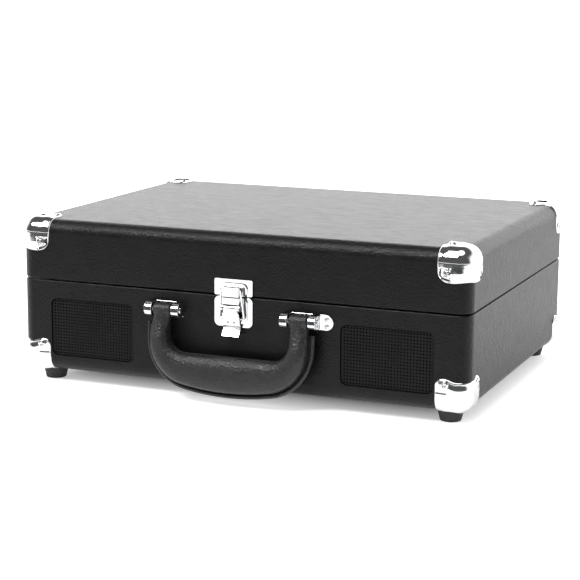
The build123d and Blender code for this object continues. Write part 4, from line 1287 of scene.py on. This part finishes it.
def make_platter():
    """The casting, with raised dots in the groove round its rim."""
    bm = bmesh.new()
    top = platter_high.z
    hub_r = 4.05
    bottom = 70.4
    drum_z = 71.2
    web_z = 76.0
    r = platter_r
    profile = [(hub_r, bottom), (12, bottom), (12, web_z), (58, web_z), (58, drum_z), (62, drum_z)]
    profile += [(62, web_z), (r - 3, web_z), (r - 3, drum_z), (r - 0.6, 71.1), (r - 0.1, 71.5)]
    profile += [(r - 0.1, 72.4), (r - 0.7, 72.9), (r - 0.7, 76.0), (r - 0.1, 76.5), (r - 0.1, top - 0.9)]
    profile += [(r - 0.9, top - 0.1), (r - 2.6, top), (hub_r, top), (hub_r, bottom)]
    at = facing_up(platter_mid.x, platter_mid.y, 0)
    add_lathe(bm, profile, at, 160)
    dots = 72
    dot = [(1.1, 0), (1.0, 0.35), (0.6, 0.52), (0, 0.55)]
    for i in range(dots):
        angle = 2 * math.pi * i / dots
        out = Vector((math.cos(angle), math.sin(angle), 0))
        place = Vector((platter_mid.x, platter_mid.y, 74.4)) + out * (r - 0.75)
        add_lathe(bm, dot, axes_at(place, (-out.y, out.x, 0), (0, 0, 1)), 10)
    make("platter_casting", bm, "platter", ["platter"], "platter_plastic", satin_plastic, sharp=40)


def make_mat():
    """The felt mat with ten round grooves."""
    bm = bmesh.new()
    inner = 4.5
    outer = platter_r - 3.1
    base = mat_low.z
    top = mat_high.z
    face = top - 0.02
    profile = [(inner, base), (inner, top - 0.25), (inner + 0.4, face)]
    for i in range(10):
        r = 12 + i * 8.0
        profile += [(r - 0.5, face), (r - 0.2, top - 0.3), (r + 0.2, top - 0.3), (r + 0.5, face)]
    profile += [(outer - 0.6, face), (outer, top - 0.5), (outer, base), (inner, base)]
    add_lathe(bm, profile, facing_up(platter_mid.x, platter_mid.y, 0), 120)
    make("felt_mat", bm, "platter", ["platter_mat"], "mat_felt", felt, sharp=50)


make_platter()
make_mat()

# The knobs' and switches' shafts start here, under the deck plate
shaft_foot = 60


def make_knob(node):
    """A fluted knob with a sunken top and a bright pointer line."""
    low, high = corners(node)
    middle = (low + high) / 2
    bottom = 69.3
    top = high.z
    bm = bmesh.new()
    flutes = 24
    steps = flutes * 6
    rings = []
    for radius, z, depth in (
        (9.2, bottom, 0),
        (9.9, bottom + 0.3, 0),
        (9.9, bottom + 1.6, 0),
        (9.5, bottom + 1.9, 1),
        (9.35, bottom + 4, 1),
        (9.2, top - 1.3, 1),
        (8.9, top - 0.5, 0.6),
        (8.3, top - 0.08, 0),
        (6.4, top - 0.02, 0),
        (6.2, top - 0.3, 0),
        (0.6, top - 0.45, 0),
    ):
        ring = []
        for i in range(steps):
            angle = 2 * math.pi * i / steps
            r = radius - depth * 0.32 * (0.5 - 0.5 * math.cos(flutes * angle))
            ring.append((middle.x + r * math.cos(angle), middle.y + r * math.sin(angle), z))
        rings.append(ring)
    add_loft(bm, rings)
    shaft = [(0, shaft_foot), (3.0, shaft_foot), (3.0, bottom + 0.1), (0, bottom + 0.1)]
    add_lathe(bm, shaft, facing_up(middle.x, middle.y, 0), 24)
    make(node + "_cap", bm, node, [node], "knob_black", satin_plastic, sharp=45)
    bm = bmesh.new()
    pointer = rounded_rect(0.9, 5.4, 0.4, 0, 5.2)
    add_plate(bm, [pointer], 0.35, facing_up(middle.x, middle.y, top - 0.36), bevel=0.1)
    make(node + "_pointer", bm, node, None, "chrome", chrome)


make_knob("volume_knob")
make_knob("selector_knob")


def make_slide_cap(node):
    """A slide switch's cap with grip ribs across it."""
    low, high = corners(node)
    middle = (low + high) / 2
    bottom = 69.1
    top = high.z
    bm = bmesh.new()
    stem = rounded_rect(3.1, 4.5, 0.4)
    stem_h = bottom + 0.5 - shaft_foot
    add_plate(bm, [stem], stem_h, facing_up(middle.x, middle.y, shaft_foot), bevel=0.1)
    rings = []
    for inset, z in ((0, bottom), (0, bottom + 0.6), (0.5, top - 1.0), (0.7, top - 0.75), (1.1, top - 0.6)):
        outline = rounded_rect(8.9 - 2 * inset, 10.9 - 2 * inset, 1.4, middle.x, middle.y)
        rings.append([(x, y, z) for x, y in outline])
    add_loft(bm, rings)
    for i in range(5):
        rib = rounded_rect(6.2, 0.8, 0.35, 0, (i - 2) * 1.5, 3)
        add_plate(bm, [rib], 0.7, facing_up(middle.x, middle.y, top - 0.72), bevel=0.15)
    make(node + "_cap", bm, node, [node], "knob_black", satin_plastic)


make_slide_cap("speed_switch")
make_slide_cap("stop_switch")


def make_adapter():
    low, high = corners("single_adapter")
    middle = (low + high) / 2
    bm = bmesh.new()
    r = (high.x - low.x) / 2
    hole_edge = 3.8
    bottom = low.z
    top = high.z
    profile = [(hole_edge, bottom), (r - 0.5, bottom), (r, bottom + 0.4), (r, top - 0.8)]
    profile += [(r - 0.7, top - 0.1), (r - 2.2, top), (r - 2.6, top - 0.4), (r - 2.8, top - 1.4)]
    profile += [(9.6, top - 1.4), (9.2, top - 0.4), (8.8, top), (4.6, top)]
    profile += [(hole_edge, top - 0.7), (hole_edge, bottom)]
    add_lathe(bm, profile, facing_up(middle.x, middle.y, 0), 64)
    make("single_centre", bm, "single_adapter", ["single_adapter"], "gloss_black", gloss_plastic, sharp=40)


make_adapter()


def make_tonearm():
    """The tube, its pivot block and pin, and the grooved counterweight, all on one axis."""
    low, high = corners("tonearm_yoke")
    pivot_x = (low.x + high.x) / 2
    yoke_y = (low.y + high.y) / 2
    arm_z = high.z - 4.6
    tube_low, tube_high = corners("tonearm_tube")
    reach = yoke_y - tube_low.y
    bm = bmesh.new()
    tube = [(0, reach), (3.2, reach), (3.9, reach - 0.7), (3.95, 9), (4.0, 8.6), (4.0, 7), (0, 7)]
    add_lathe(bm, tube, facing_front(pivot_x, yoke_y, arm_z), 32)
    pivot_block = rounded_rect(15.5, 7.9, 1.6)
    at = facing_front(pivot_x, yoke_y + 6.9, arm_z + 0.4)
    add_plate(bm, [pivot_block], 14.8, at, bevel=0.8, segments=3)
    weight_r = 7.95
    groove_r = 7.5
    weight = [(0, 0), (7.2, 0), (weight_r, 0.8), (weight_r, 3.4), (groove_r, 3.8), (groove_r, 4.4)]
    weight += [(weight_r, 4.8), (weight_r, 11.5), (groove_r, 11.9), (groove_r, 12.5), (weight_r, 12.9)]
    weight += [(weight_r, 16.0), (7.2, 16.9), (3.2, 17), (3.15, 26), (0, 26)]
    add_lathe(bm, weight, facing_front(pivot_x, tube_high.y, arm_z), 40)
    half_pin = [(1.2, 9.8), (0.9, 10.1), (0, 10.1)]
    pin = [(radius, -x) for radius, x in reversed(half_pin)] + half_pin
    add_lathe(bm, pin, axes_at((pivot_x, yoke_y, arm_z), (0, 1, 0), (0, 0, 1)), 20)
    make("arm_tube", bm, "tonearm", ["tonearm_tube"], "gloss_black", gloss_plastic)


make_tonearm()


def deck_screw_heads():
    """Three screws along each side of the deck plate."""
    low, high = corners("deck_screws")
    head_r = 3.0
    seat = high.z - 1.4
    reach = high.x - head_r
    rows = (low.y + head_r, case_y, case_y + 84.0)
    places = [facing_up(side * reach, y, seat) for side in (-1, 1) for y in rows]
    make_screws("deck_screw_heads", "case_base", "deck_screws", places, head_r, 1.35, "steel_black", steel)


deck_screw_heads()

# ==== Rear sockets ====


def make_rear_panel():
    """The plate round the two phono sockets and the power socket."""
    bm = bmesh.new()
    at = facing_back(panel_mid.x, rear_y, panel_mid.z)
    outline = rounded_rect(panel_high.x - panel_low.x, panel_high.z - panel_low.z, 3)
    holes = [circle(x, 0, 4.65) for x in (-20.0, 0.0, 20.0)]
    add_plate(bm, [outline] + holes, plate_t, at, bevel=0.3)
    make("socket_panel", bm, "case_base", ["rear_panel"], "gloss_black", gloss_plastic)


make_rear_panel()

# ==== CAD shapes with their edges softened ====

for node, body, slot, material, bevel in (
    ("latch_keeper", "lid", "chrome", chrome, 0.28),
    ("latch_base_plate", "case_base", "chrome", chrome, 0.28),
    ("latch_lever", "latch_lever", "chrome", chrome, 0.14),
    ("latch_pin", "case_base", "steel", steel, 0.2),
    ("handle_pins", "case_base", "chrome", chrome, 0.3),
    ("hinge_base_leaves", "case_base", "chrome", chrome, 0.25),
    ("hinge_lid_leaves", "lid", "chrome", chrome, 0.25),
    ("hinge_pins", "case_base", "steel", steel, 0.3),
    ("lid_stay", "lid_stay", "brushed_steel", brushed, 0.2),
    ("stay_base_pin", "case_base", "brushed_steel", brushed, 0.3),
    ("stay_lid_pin", "lid", "brushed_steel", brushed, 0.3),
    ("deck_plate", "case_base", "deck_black", deck_plastic, 0.35),
    ("tonearm_base", "case_base", "gloss_black", gloss_plastic, 0.5),
    ("tonearm_yoke", "tonearm_yoke", "gloss_black", gloss_plastic, 0.4),
    ("headshell", "tonearm", "gloss_black", gloss_plastic, 0.7),
    ("tonearm_rest", "case_base", "gloss_black", gloss_plastic, 0.4),
    ("tonearm_clip", "tonearm_clip", "gloss_black", gloss_plastic, 0.25),
    ("cue_lever", "cue_lever", "gloss_black", gloss_plastic, 0.5),
    ("stylus", "tonearm", "stylus_red", red_plastic, 0.2),
    ("jack_sockets", "case_base", "jack_black", satin_plastic, 0.3),
    ("main_board", "case_base", "circuit_board", circuit, 0.15),
    ("rca_jacks", "case_base", "brass_plated", gold_flash, 0.25),
    ("dc_jack", "case_base", "jack_black", satin_plastic, 0.3),
    ("service_cover", "case_base", "board", board, 0.3),
):
    soften(node, body, slot, material, bevel)

# ==== CAD pieces that keep their own shape ====

for kept_node, kept_material in (
    ("speaker_baskets", black_paint),
    ("speaker_magnets", ferrite),
    ("lid_lining", lining_paper),
    ("platter_bearing", brass),
    ("spindle", chrome),
    ("motor", steel),
    ("motor_pulley", brass),
    ("drive_belt", rubber),
    ("power_led", red_plastic),
):
    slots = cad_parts[kept_node].data.materials
    slots.clear()
    slots.append(kept_material)
